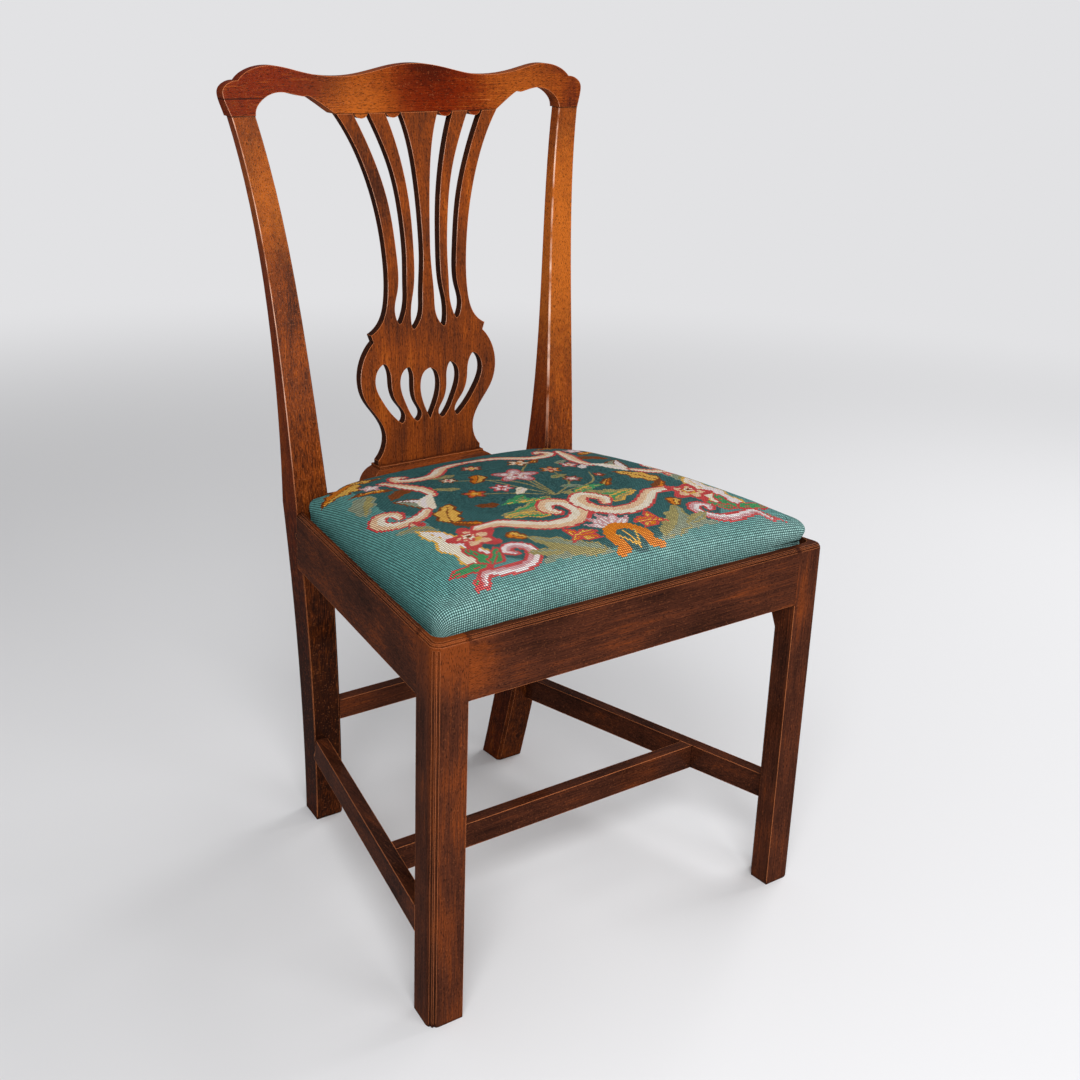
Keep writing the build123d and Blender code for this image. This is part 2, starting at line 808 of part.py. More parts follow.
# Shoe: coved at the front and the ends, with a plain band at the top
shoe_front = splat_foot_front - rear_ledge
shoe_toe = shoe_front - shoe_cove
shoe_band = shoe_top - shoe_bead
with BuildPart() as splat_shoe:
    with BuildSketch(side):
        with BuildLine():
            shoe_cove_line = SagittaArc(
                (shoe_toe, rail_top + shoe_toe_height), (shoe_front, shoe_band), shoe_cove_hollow
            )
            Polyline(
                shoe_cove_line @ 1,
                (shoe_front, shoe_top),
                (rear_rail_back, shoe_top),
                (rear_rail_back, rail_top),
                (shoe_toe, rail_top),
                shoe_cove_line @ 0,
            )
        make_face()
    extrude(amount=shoe_top_half + shoe_flare + 5, both=True)
    with BuildSketch(front):
        with BuildLine():
            shoe_end = SagittaArc(
                (shoe_top_half + shoe_flare, rail_top + shoe_toe_height),
                (shoe_top_half, shoe_band),
                -shoe_end_hollow,
            )
            Polyline(
                shoe_end @ 1,
                (shoe_top_half, shoe_top),
                (0, shoe_top),
                (0, rail_top),
                (shoe_top_half + shoe_flare, rail_top),
                shoe_end @ 0,
            )
        make_face()
        mirror(about=Plane.YZ)
    extrude(amount=-through, mode=Mode.INTERSECT)
    add(splat_foot.part, mode=Mode.SUBTRACT)

# Glue blocks in the corners under the seat
block_bottom = ledge - block_drop - block_height
front_block_reach = leg_size + block_leg
with BuildPart() as corner_block_front_right:
    with BuildSketch(plan.offset(block_bottom)):
        with BuildLine():
            Polyline(
                (leg_inner, front_rail_thickness),
                (leg_inner, leg_size),
                (side_line(leg_size, side_rail_thickness), leg_size),
                (side_line(front_block_reach, side_rail_thickness), front_block_reach),
                (leg_inner - block_leg, front_rail_thickness),
                close=True,
            )
        make_face()
    extrude(amount=block_height)

with BuildPart() as corner_block_front_left:
    add(corner_block_front_right.part)
    mirror(about=Plane.YZ, mode=Mode.REPLACE)

rear_block_reach = seat_depth - block_leg
with BuildPart() as corner_block_rear_right:
    with BuildSketch(plan.offset(block_bottom)):
        with BuildLine():
            Polyline(
                (side_line(rear_block_reach, side_rail_thickness), rear_block_reach),
                (side_line(rear_rail_front, side_rail_thickness), rear_rail_front),
                (post_inner(rail_bottom) - block_leg, rear_rail_front),
                close=True,
            )
        make_face()
    extrude(amount=block_height)
    add(post_blank.part, mode=Mode.SUBTRACT)

with BuildPart() as corner_block_rear_left:
    add(corner_block_rear_right.part)
    mirror(about=Plane.YZ, mode=Mode.REPLACE)

# Drop-in seat: heights of its layers
frame_inset = seat_gap + cover_thickness
cover_bottom = ledge + seat_rest_gap
frame_bottom = cover_bottom + cover_thickness
frame_top = frame_bottom + seat_frame_thickness
crosswise_bottom = frame_top + webbing_thickness
hessian_bottom = crosswise_bottom + webbing_thickness
stuffing_bottom = hessian_bottom + hessian_thickness
notch_x = post_inner(rail_top) - seat_gap
notch_y = seat_depth - seat_gap


# Outline of the seat drawn in from the edge of the well
def seat_outline(inset):
    front_edge = front_lip + inset
    back_edge = well_back - inset
    return (
        (-side_line(front_edge, side_lip + inset), front_edge),
        (side_line(front_edge, side_lip + inset), front_edge),
        (side_line(back_edge, side_lip + inset), back_edge),
        (-side_line(back_edge, side_lip + inset), back_edge),
    )


# Corners cut out of the seat so that it clears the back posts
with BuildPart() as cover_notches:
    with BuildSketch(plan.offset(ledge)):
        with BuildLine():
            Polyline(
                (notch_x, notch_y),
                (front_width / 2, notch_y),
                (front_width / 2, seat_depth + leg_size),
                (notch_x, seat_depth + leg_size),
                close=True,
            )
        make_face()
        mirror(about=Plane.YZ)
    extrude(amount=crown_top + 2 * cover_thickness - ledge)

with BuildPart() as frame_notches:
    with BuildSketch(plan.offset(ledge)):
        with BuildLine():
            Polyline(
                (notch_x - cover_thickness, notch_y - cover_thickness),
                (front_width / 2, notch_y - cover_thickness),
                (front_width / 2, seat_depth + leg_size),
                (notch_x - cover_thickness, seat_depth + leg_size),
                close=True,
            )
        make_face()
        mirror(about=Plane.YZ)
    extrude(amount=crown_top + 2 * cover_thickness - ledge)

# Crown of the seat: a shallow barrel swept about a level axis far below the chair
crown_axis = crown_top - crown_radius_along
crown_depth = 2 * rebate_depth + crown_edge_radius + rail_height
crown_half = front_width
crown_fall = crown_radius_across - (crown_radius_across**2 - crown_half**2) ** 0.5
across_crown = Plane(
    origin=(0, front_y + crown_middle, crown_axis), x_dir=(1, 0, 0), z_dir=(0, -1, 0)
)


def crown_section(lift):
    outer = -crown_radius_along - lift
    return (-crown_half, outer + crown_fall), (0, outer), (crown_half, outer + crown_fall)


with BuildPart() as pad_crown:
    with BuildSketch(across_crown):
        with BuildLine():
            pad_arc = ThreePointArc(*crown_section(0.0))
            Polyline(
                pad_arc @ 1,
                (crown_half, crown_depth + crown_fall - crown_radius_along),
                (-crown_half, crown_depth + crown_fall - crown_radius_along),
                pad_arc @ 0,
            )
        make_face()
    revolve(axis=Axis(across_crown.origin, (1, 0, 0)))

with BuildPart() as cover_crown:
    with BuildSketch(across_crown):
        with BuildLine():
            cover_arc = ThreePointArc(*crown_section(cover_thickness))
            Polyline(
                cover_arc @ 1,
                (crown_half, crown_depth + crown_fall - crown_radius_along),
                (-crown_half, crown_depth + crown_fall - crown_radius_along),
                cover_arc @ 0,
            )
        make_face()
    revolve(axis=Axis(across_crown.origin, (1, 0, 0)))

# Seat without its cover, from the underside of the loose frame to the crown
with BuildPart() as seat_core:
    with BuildSketch(plan.offset(frame_bottom)) as core_outline:
        with BuildLine():
            Polyline(*seat_outline(frame_inset), close=True)
        make_face()
        fillet(core_outline.vertices(), seat_corner_radius)
    extrude(amount=frame_top - frame_bottom)
    with BuildSketch(plan.offset(frame_top)) as pad_outline:
        with BuildLine():
            Polyline(*seat_outline(frame_inset), close=True)
        make_face()
        fillet(pad_outline.vertices(), seat_corner_radius)
    extrude(amount=crown_top - frame_top + cover_thickness, taper=side_draw_angle)
    add(pad_crown.part, mode=Mode.INTERSECT)
    fillet(faces().sort_by(Axis.Z)[-1].edges(), crown_edge_radius)
    add(frame_notches.part, mode=Mode.SUBTRACT)

frame_front_edge = front_lip + frame_inset
frame_back_edge = well_back - frame_inset
frame_front_inner = frame_front_edge + seat_frame_width
frame_back_inner = frame_back_edge - seat_frame_width
frame_side_outer = side_lip + frame_inset
frame_side_inner = frame_side_outer + seat_frame_width
frame_tenon_outer = frame_side_outer + seat_frame_width / 4
frame_tenon_inner = frame_side_inner - seat_frame_width / 4
frame_tenon_start = frame_front_inner - seat_frame_tenon
frame_tenon_end = frame_back_inner + seat_frame_tenon
frame_tenon_height = seat_frame_thickness / 3

with BuildPart() as seat_side_core:
    with BuildSketch(plan.offset(frame_bottom + frame_tenon_height)):
        with BuildLine():
            Polyline(
                (side_line(frame_tenon_start, frame_tenon_outer), frame_tenon_start),
                (side_line(frame_tenon_end, frame_tenon_outer), frame_tenon_end),
                (side_line(frame_tenon_end, frame_tenon_inner), frame_tenon_end),
                (side_line(frame_tenon_start, frame_tenon_inner), frame_tenon_start),
                close=True,
            )
        make_face()
    extrude(amount=frame_tenon_height)

# Tacks under the loose frame
tack_front = frame_front_edge + tack_inset
tack_back = frame_back_edge - tack_inset
tack_side = frame_side_outer + tack_inset
tack_front_half = side_line(tack_front, tack_side)
tack_spots = [(share * tack_front_half, tack_front) for share in (-0.9, -0.6, -0.3, 0, 0.3, 0.6, 0.9)]
tack_spots += [(share * notch_x, tack_back) for share in (-0.8, -0.4, 0, 0.4, 0.8)]
for share in (0.15, 0.32, 0.49, 0.66, 0.83):
    tack_y = tack_front + share * (tack_back - tack_front)
    tack_spots += [(side_line(tack_y, tack_side), tack_y), (-side_line(tack_y, tack_side), tack_y)]

with BuildPart() as cover_tacks:
    with BuildSketch(plan.offset(cover_bottom)):
        with Locations(*tack_spots):
            Circle(tack_shank_radius)
    extrude(amount=tack_shank_length)
    with BuildSketch(plan.offset(cover_bottom)):
        with Locations(*tack_spots):
            Circle(tack_head_radius)
    extrude(amount=-tack_head_height)

# Loose frame of four members, the sides tenoned into the front and the back
with BuildPart() as seat_frame_front:
    with BuildSketch(plan.offset(frame_bottom)):
        with Locations((0, (frame_front_edge + frame_front_inner) / 2)):
            Rectangle(front_width, seat_frame_width)
    extrude(amount=seat_frame_thickness)
    add(seat_core.part, mode=Mode.INTERSECT)
    add(seat_side_core.part, mode=Mode.SUBTRACT)
    mirror(seat_side_core.part, about=Plane.YZ, mode=Mode.SUBTRACT)
    add(cover_tacks.part, mode=Mode.SUBTRACT)

with BuildPart() as seat_frame_back:
    with BuildSketch(plan.offset(frame_bottom)):
        with Locations((0, (frame_back_edge + frame_back_inner) / 2)):
            Rectangle(front_width, seat_frame_width)
    extrude(amount=seat_frame_thickness)
    add(seat_core.part, mode=Mode.INTERSECT)
    add(seat_side_core.part, mode=Mode.SUBTRACT)
    mirror(seat_side_core.part, about=Plane.YZ, mode=Mode.SUBTRACT)
    add(cover_tacks.part, mode=Mode.SUBTRACT)

with BuildPart() as seat_frame_right:
    with BuildSketch(plan.offset(frame_bottom)):
        with BuildLine():
            Polyline(
                (side_line(frame_front_inner, frame_side_outer), frame_front_inner),
                (side_line(frame_back_inner, frame_side_outer), frame_back_inner),
                (side_line(frame_back_inner, frame_side_inner), frame_back_inner),
                (side_line(frame_front_inner, frame_side_inner), frame_front_inner),
                close=True,
            )
        make_face()
    extrude(amount=seat_frame_thickness)
    add(seat_side_core.part)
    add(cover_tacks.part, mode=Mode.SUBTRACT)

with BuildPart() as seat_frame_left:
    add(seat_frame_right.part)
    mirror(about=Plane.YZ, mode=Mode.REPLACE)

# Webbing, lengthwise straps under crosswise straps, then the hessian
webbing_front = frame_front_edge + webbing_inset
webbing_back = frame_back_edge - webbing_inset
seat_middle = (frame_front_edge + frame_back_edge) / 2
with BuildPart() as webbing_lengthwise:
    with BuildSketch(plan.offset(frame_top)):
        with Locations((-webbing_pitch_x, seat_middle), (0, seat_middle), (webbing_pitch_x, seat_middle)):
            Rectangle(webbing_width, webbing_back - webbing_front)
    extrude(amount=webbing_thickness)

with BuildPart() as webbing_crosswise:
    with BuildSketch(plan.offset(crosswise_bottom)):
        for step in (-1, 0, 1):
            strap_front = seat_middle + step * webbing_pitch_y - webbing_width / 2
            strap_back = strap_front + webbing_width
            with BuildLine():
                Polyline(
                    (side_line(strap_front, frame_side_outer + webbing_inset), strap_front),
                    (side_line(strap_back, frame_side_outer + webbing_inset), strap_back),
                    (-side_line(strap_back, frame_side_outer + webbing_inset), strap_back),
                    (-side_line(strap_front, frame_side_outer + webbing_inset), strap_front),
                    close=True,
                )
            make_face()
    extrude(amount=webbing_thickness)

with BuildPart() as hessian:
    with BuildSketch(plan.offset(hessian_bottom)) as hessian_outline:
        with BuildLine():
            Polyline(*seat_outline(frame_inset + hessian_inset), close=True)
        make_face()
        fillet(hessian_outline.vertices(), seat_corner_radius)
    extrude(amount=hessian_thickness)
    add(frame_notches.part, mode=Mode.SUBTRACT)

# Crowned pad, drawn in towards the top, and the cover over it
with BuildPart() as stuffing:
    add(seat_core.part)
    split(bisect_by=Plane((0, 0, stuffing_bottom)))

with BuildPart() as needlework_cover:
    with BuildSketch(plan.offset(cover_bottom)) as skirt_outline:
        with BuildLine():
            Polyline(*seat_outline(seat_gap), close=True)
        make_face()
        fillet(skirt_outline.vertices(), seat_corner_radius + cover_thickness)
    extrude(amount=frame_top - cover_bottom)
    with BuildSketch(plan.offset(frame_top)) as cover_outline:
        with BuildLine():
            Polyline(*seat_outline(seat_gap), close=True)
        make_face()
        fillet(cover_outline.vertices(), seat_corner_radius + cover_thickness)
    extrude(amount=crown_top - frame_top + 2 * cover_thickness, taper=side_draw_angle)
    add(cover_crown.part, mode=Mode.INTERSECT)
    fillet(faces().sort_by(Axis.Z)[-1].edges(), crown_edge_radius + cover_thickness)
    add(cover_notches.part, mode=Mode.SUBTRACT)
    add(seat_core.part, mode=Mode.SUBTRACT)
    with BuildSketch(plan.offset(cover_bottom)):
        with BuildLine():
            Polyline(*seat_outline(frame_inset + cover_turn_in), close=True)
        make_face()
    extrude(amount=cover_thickness, mode=Mode.SUBTRACT)
    add(cover_tacks.part, mode=Mode.SUBTRACT)

# Names and files of the pieces
pieces = {
    "back_post_left": back_post_left,
    "back_post_right": back_post_right,
    "front_leg_left": front_leg_left,
    "front_leg_right": front_leg_right,
    "crest_rail": crest_rail,
    "splat": splat,
    "splat_shoe": splat_shoe,
    "front_seat_rail": front_seat_rail,
    "side_seat_rail_left": side_seat_rail_left,
    "side_seat_rail_right": side_seat_rail_right,
    "rear_seat_rail": rear_seat_rail,
    "side_stretcher_left": side_stretcher_left,
    "side_stretcher_right": side_stretcher_right,
    "cross_stretcher": cross_stretcher,
    "rear_stretcher": rear_stretcher,
    "corner_block_front_left": corner_block_front_left,
    "corner_block_front_right": corner_block_front_right,
    "corner_block_rear_left": corner_block_rear_left,
    "corner_block_rear_right": corner_block_rear_right,
    "joint_pegs": joint_pegs,
    "seat_frame_front": seat_frame_front,
    "seat_frame_back": seat_frame_back,
    "seat_frame_left": seat_frame_left,
    "seat_frame_right": seat_frame_right,
    "webbing_lengthwise": webbing_lengthwise,
    "webbing_crosswise": webbing_crosswise,
    "hessian": hessian,
    "stuffing": stuffing,
    "needlework_cover": needlework_cover,
    "cover_tacks": cover_tacks,
}
for name, piece in pieces.items():
    piece.part.label = name
    export_step(piece.part, f"parts/{name}.step")
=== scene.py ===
import math

import bpy
import numpy as np
from bpy.props import FloatProperty, FloatVectorProperty, PointerProperty
from bpy.types import Operator, Panel, PropertyGroup
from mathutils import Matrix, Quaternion, Vector


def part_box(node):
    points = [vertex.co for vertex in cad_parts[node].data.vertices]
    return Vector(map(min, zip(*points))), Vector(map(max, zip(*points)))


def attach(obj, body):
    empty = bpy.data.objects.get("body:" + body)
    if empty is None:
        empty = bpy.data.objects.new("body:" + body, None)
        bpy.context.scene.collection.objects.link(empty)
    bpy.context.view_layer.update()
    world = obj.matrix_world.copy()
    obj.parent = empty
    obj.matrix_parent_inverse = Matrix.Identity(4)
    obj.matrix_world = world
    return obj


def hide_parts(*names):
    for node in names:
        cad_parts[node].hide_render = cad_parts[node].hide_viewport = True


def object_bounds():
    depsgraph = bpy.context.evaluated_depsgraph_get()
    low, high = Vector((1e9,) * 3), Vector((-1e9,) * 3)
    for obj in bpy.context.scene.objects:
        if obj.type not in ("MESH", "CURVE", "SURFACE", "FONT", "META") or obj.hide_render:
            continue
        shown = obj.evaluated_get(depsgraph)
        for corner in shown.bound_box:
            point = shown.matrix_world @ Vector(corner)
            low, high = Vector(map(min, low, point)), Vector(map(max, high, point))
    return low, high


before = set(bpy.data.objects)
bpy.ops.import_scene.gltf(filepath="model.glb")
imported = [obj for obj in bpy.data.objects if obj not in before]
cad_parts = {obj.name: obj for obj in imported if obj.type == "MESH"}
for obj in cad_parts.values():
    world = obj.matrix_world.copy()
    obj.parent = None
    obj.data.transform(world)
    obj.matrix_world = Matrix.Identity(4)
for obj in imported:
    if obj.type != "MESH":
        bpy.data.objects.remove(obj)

bl_info = {
    "name": "Side Chair Finishes",
    "version": (1, 0, 0),
    "blender": (4, 5, 0),
    "location": "3D View > Sidebar > Side Chair",
    "description": "Polishes the timber of a side chair and stitches its needlework seat",
    "category": "Object",
}

CAD_LOW, CAD_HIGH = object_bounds()
SEAT_BODY = "drop_in_seat"
MM = 0.001
ACROSS, ALONG, UPRIGHT = 0, 1, 2
FORWARD = (0.0, -1.0, 0.0)


def linear(red, green, blue):
    """A colour of the screen, 0 to 255, as the linear values that a shader takes."""
    shares = (red / 255, green / 255, blue / 255)
    return tuple(c / 12.92 if c <= 0.04045 else ((c + 0.055) / 1.055) ** 2.4 for c in shares)


def tint(name, description, *screen):
    default = linear(*screen)
    return FloatVectorProperty(
        name=name, description=description, subtype="COLOR", min=0, max=1, default=default
    )


def length(name, description, default):
    return FloatProperty(name=name, description=description, unit="LENGTH", default=default, precision=4)


def power(name, description, default):
    return FloatProperty(name=name, description=description, unit="POWER", default=default)


def share(name, description, default):
    return FloatProperty(
        name=name, description=description, subtype="FACTOR", min=0, max=1, default=default
    )


def angle(name, description, degrees):
    default = math.radians(degrees)
    return FloatProperty(name=name, description=description, unit="ROTATION", default=default)


class TimberSettings(PropertyGroup):
    """Colours and grain of the polished mahogany and of the plain beech."""

    # Deep is also laid as painted shade on the rear legs and on the splat's faces that look sideways.
    deep: tint("Deep", "Darkest grain and old polish", 26, 12, 8)
    umber: tint("Umber", "Body colour of the legs and the seat rails", 74, 38, 24)
    russet: tint("Russet", "Body colour of the back", 132, 62, 22)
    # Amber also lays a painted highlight on the upper posts, together with their faded timber.
    amber: tint("Amber", "Brightest faded timber", 194, 104, 34)
    # Cherry also paints the shade on the posts' faces that look sideways.
    cherry: tint("Cherry", "Dark red stain on the crest rail", 106, 28, 3)
    worn: tint("Worn", "Timber rubbed bare along the arrises", 214, 126, 76)
    # Glint paints a highlight: a pale line on the arrises of the back that look to the front and the left.
    glint: tint("Glint", "Arrises of the back that years of hands have burnished", 240, 202, 180)
    # The colour of dirt in the pores and joints, also laid as painted shade in hollows.
    grime_and_shade: tint("Grime", "Wax and dust held in the open pores", 22, 11, 7)
    beech: tint("Beech", "Timber of the loose seat frame and the glue blocks", 176, 128, 82)
    fibre_length: length("Fibre length", "Length of a streak of grain", 0.045)
    fibre_width: length("Fibre width", "Width of a streak of grain", 0.0013)
    pore_length: length("Pore length", "Length of an open pore", 0.0045)
    pore_width: length("Pore width", "Width of an open pore", 0.0007)
    arris_radius: length("Arris radius", "Softening of the worn arrises", 0.0014)
    polish: share("Polish", "Strength of the clear polish over the timber", 0.06)


class NeedleworkSettings(PropertyGroup):
    """Wools, stitch and shape of the needlework seat."""

    border: tint("Border wool", "Plain ground round the edge", 80, 129, 125)
    ground: tint("Field wool", "Dark ground behind the flowers", 47, 86, 86)
    cream: tint("Cream wool", "Light side of the scrolls", 242, 216, 184)
    blush: tint("Blush wool", "Shaded side of the scrolls", 228, 172, 138)
    red: tint("Red wool", "Outlines and petals", 182, 64, 64)
    gold: tint("Gold wool", "Autumn leaves", 214, 154, 70)
    orange: tint("Orange wool", "Bright leaves and the palmette", 206, 112, 26)
    olive: tint("Olive wool", "Dull leaves", 142, 132, 84)
    sage: tint("Sage wool", "Grey green leaves", 124, 132, 112)
    green: tint("Green wool", "Acanthus leaves", 62, 134, 84)
    brown: tint("Brown wool", "Veins and shaded leaves", 112, 58, 24)
    mauve: tint("Mauve wool", "Shaded petals", 190, 140, 142)
    white: tint("White wool", "Corner scrolls", 236, 214, 212)
    stitch: length("Stitch", "Width of one stitch of the border", 0.0027)
    cloth: length("Cloth", "Thickness of the worked canvas", 0.0018)
    hem: length("Hem", "Canvas turned under the loose frame", 0.0215)
    dome: length("Dome", "Height of the stuffed crown above the plain solid", 0.0105)
    roll_in: length("Roll in", "Width of the pad's rounded edge", 0.035)
    roll_down: length("Roll down", "Height of the pad's rounded edge", 0.0185)
    swell: length("Swell", "How far the stuffing lifts the canvas", 0.003)
    drawn_in: length("Drawn in", "Pull of the edge between its corners", 0.0015)


class StageSettings(PropertyGroup):
    """Camera, floor and soft light."""

    azimuth: angle("Azimuth", "Turn of the camera round the chair", -37.113)
    elevation: angle("Elevation", "Height of the camera above the horizon", 20.826)
    roll: angle("Roll", "Turn of the camera about its own line of sight", 2.109)
    distance: length("Distance", "From the camera to the point it looks at", 1.79828)
    target: FloatVectorProperty(
        name="Target", description="Point that the camera looks at", subtype="XYZ", unit="LENGTH",
        default=(0.02741, -0.013045, 0.42675),
    )
    lens: FloatProperty(name="Lens", description="Focal length in millimetres", default=50.34)
    floor: tint("Floor", "Pale floor under the chair", 226, 226, 228)
    ambient: FloatProperty(name="Ambient", description="Strength of the light all round", default=0.36)
    key: power("Key light", "Power of the main soft light", 92)
    fill: power("Fill light", "Power of the fill light", 34)
    rim: power("Rim light", "Power of the light from the right", 42)


def maths(operation, turned=False):
    """A method of a wire that adds a Math node; turned sets the wire second."""

    def method(wire, other=0.0):
        first, second = (other, wire) if turned else (wire, other)
        return wire.finish.node("ShaderNodeMath", {"operation": operation}, {0: first, 1: second})

    return method


class Wire:
    """An output socket that can be used in sums, each of which adds a Math node."""

    def __init__(self, finish, socket):
        self.finish = finish
        self.socket = socket

    def beside(self, name):
        """Another output of the same node."""
        return Wire(self.finish, self.socket.node.outputs[name])

    __add__ = maths("ADD")
    __radd__ = maths("ADD", turned=True)
    __sub__ = maths("SUBTRACT")
    __rsub__ = maths("SUBTRACT", turned=True)
    __mul__ = maths("MULTIPLY")
    __rmul__ = maths("MULTIPLY", turned=True)
    __pow__ = maths("POWER")
    __abs__ = maths("ABSOLUTE")
    sine = maths("SINE")
    fraction = maths("FRACT")


class Finish:
    """A material, or the world, under construction."""

    def __init__(self, name, kind="materials"):
        self.owner = getattr(bpy.data, kind).new(name)
        self.owner.use_nodes = True
        self.tree = self.owner.node_tree
        self.tree.nodes.clear()

    def node(self, kind, settings=None, sockets=None, out=0):
        """One node: its settings first, then the values or links of its sockets."""
        made = self.tree.nodes.new(kind)
        for key, value in (settings or {}).items():
            if key == "stops":
                self.set_stops(made.color_ramp.elements, value)
            else:
                setattr(made, key, value)
        for key, value in (sockets or {}).items():
            if isinstance(value, Wire):
                self.tree.links.new(value.socket, made.inputs[key])
            else:
                made.inputs[key].default_value = value
        return Wire(self, made.outputs[out]) if len(made.outputs) else made

    @staticmethod
    def set_stops(elements, stops):
        while len(elements) < len(stops):
            elements.new(1.0)
        for element, (place, colour) in zip(elements, stops):
            element.position = place
            element.color = (*colour, 1.0)

    def place(self):
        return self.node("ShaderNodeTexCoord", out="Object")

    def split(self, vector):
        """The three parts of a vector."""
        first = self.node("ShaderNodeSeparateXYZ", sockets={0: vector})
        return [first.beside(part) for part in "XYZ"]

    def vector(self, operation, *vectors, out="Vector"):
        """A Vector Math node; a result that is a number is on its output Value."""
        settings = {"operation": operation}
        return self.node("ShaderNodeVectorMath", settings, dict(enumerate(vectors)), out)

    def noise(self, place, scale, detail, distortion=0.0):
        """Noise whose patches measure one over the scale along each axis."""
        return self.node(
            "ShaderNodeTexNoise",
            sockets={
                "Vector": self.vector("MULTIPLY", place, scale),
                "Scale": 1.0,
                "Detail": detail,
                "Distortion": distortion,
            },
        )

    def clouds(self, place, size, detail=3.0):
        """Noise in round patches."""
        return self.noise(place, [1 / size] * 3, detail)

    def streaks(self, place, grain, size, detail, distortion=0.0):
        """Noise in streaks of a length and a width, drawn out along one axis."""
        long, wide = size
        scale = [1 / wide] * 3
        scale[grain] = 1 / long
        return self.noise(place, scale, detail, distortion)

    def openness(self, reach):
        """1 on open faces and less in corners and hollows of the given size."""
        settings = {"samples": 4, "only_local": False}
        return self.node("ShaderNodeAmbientOcclusion", settings, {"Distance": reach}, out="AO")

    def bump(self, height, strength, distance, **sockets):
        """The normal of a bumped face; further sockets go by their own names."""
        values = {"Strength": strength, "Distance": distance, "Height": height, **sockets}
        return self.node("ShaderNodeBump", sockets=values)

    def ramp(self, value, stops):
        return self.node("ShaderNodeValToRGB", {"stops": stops}, {0: value})

    def between(self, value, low, high):
        """0 below low, 1 above high and smooth between them."""
        return self.node(
            "ShaderNodeMapRange",
            {"interpolation_type": "SMOOTHSTEP"},
            {"Value": value, "From Min": low, "From Max": high},
        )

    def mix(self, factor, first, second):
        """One colour laid over another, each a link or three values."""
        first = first if isinstance(first, Wire) else (*first, 1.0)
        second = second if isinstance(second, Wire) else (*second, 1.0)
        sockets = {0: factor, 6: first, 7: second}
        return self.node("ShaderNodeMix", {"data_type": "RGBA"}, sockets, out=2)

    def surface(self, **sockets):
        """The surface shader; every socket that is named with spaces as underscores is set or linked."""
        values = {key.replace("_", " "): value for key, value in sockets.items()}
        shader = self.node("ShaderNodeBsdfPrincipled", sockets=values)
        self.node("ShaderNodeOutputMaterial", sockets={"Surface": shader})
        return self.owner

    def seen_direct(self):
        """1 for what the camera sees by itself, in a polished face or through glass."""
        path = self.node("ShaderNodeLightPath")
        camera, glossy, clear = (
            path.beside(f"Is {ray} Ray") for ray in ("Camera", "Glossy", "Transmission")
        )
        return camera + glossy + clear


def dress(names, material):
    """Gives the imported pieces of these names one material."""
    for name in names:
        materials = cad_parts[name].data.materials
        materials.clear()
        materials.append(material)


# Sizes of the mahogany's figure, wear, joint lines and painted shade in hollows in metres, streaks with a
# length and a width.
# Pairs of limits say where a mark starts and where it is full. The glint is a painted highlight, and its
# side is the direction that the painted light comes from.
FIGURE_SIZE = (0.26, 0.022)
RIPPLE_SIZE = (0.007, 0.045)
PATINA_SIZE = 0.085
RUBBING_SIZE = 0.03
MOTTLE_SIZE = 0.009
SPECKLE_SIZE = 0.0022
HOLLOW_SHADE_REACH = 0.007
FLUSH_CLEAR = (0.002, 0.005)
SEAM_HALF = (0.0004, 0.001)
SEAM_WANDER = 0.003
SEAM_SIDE = (0.19, 0.195)
GLINT_SIDE = (-0.72, -0.68, 0.1)
GLINT_HEIGHT = (0.46, 0.62)


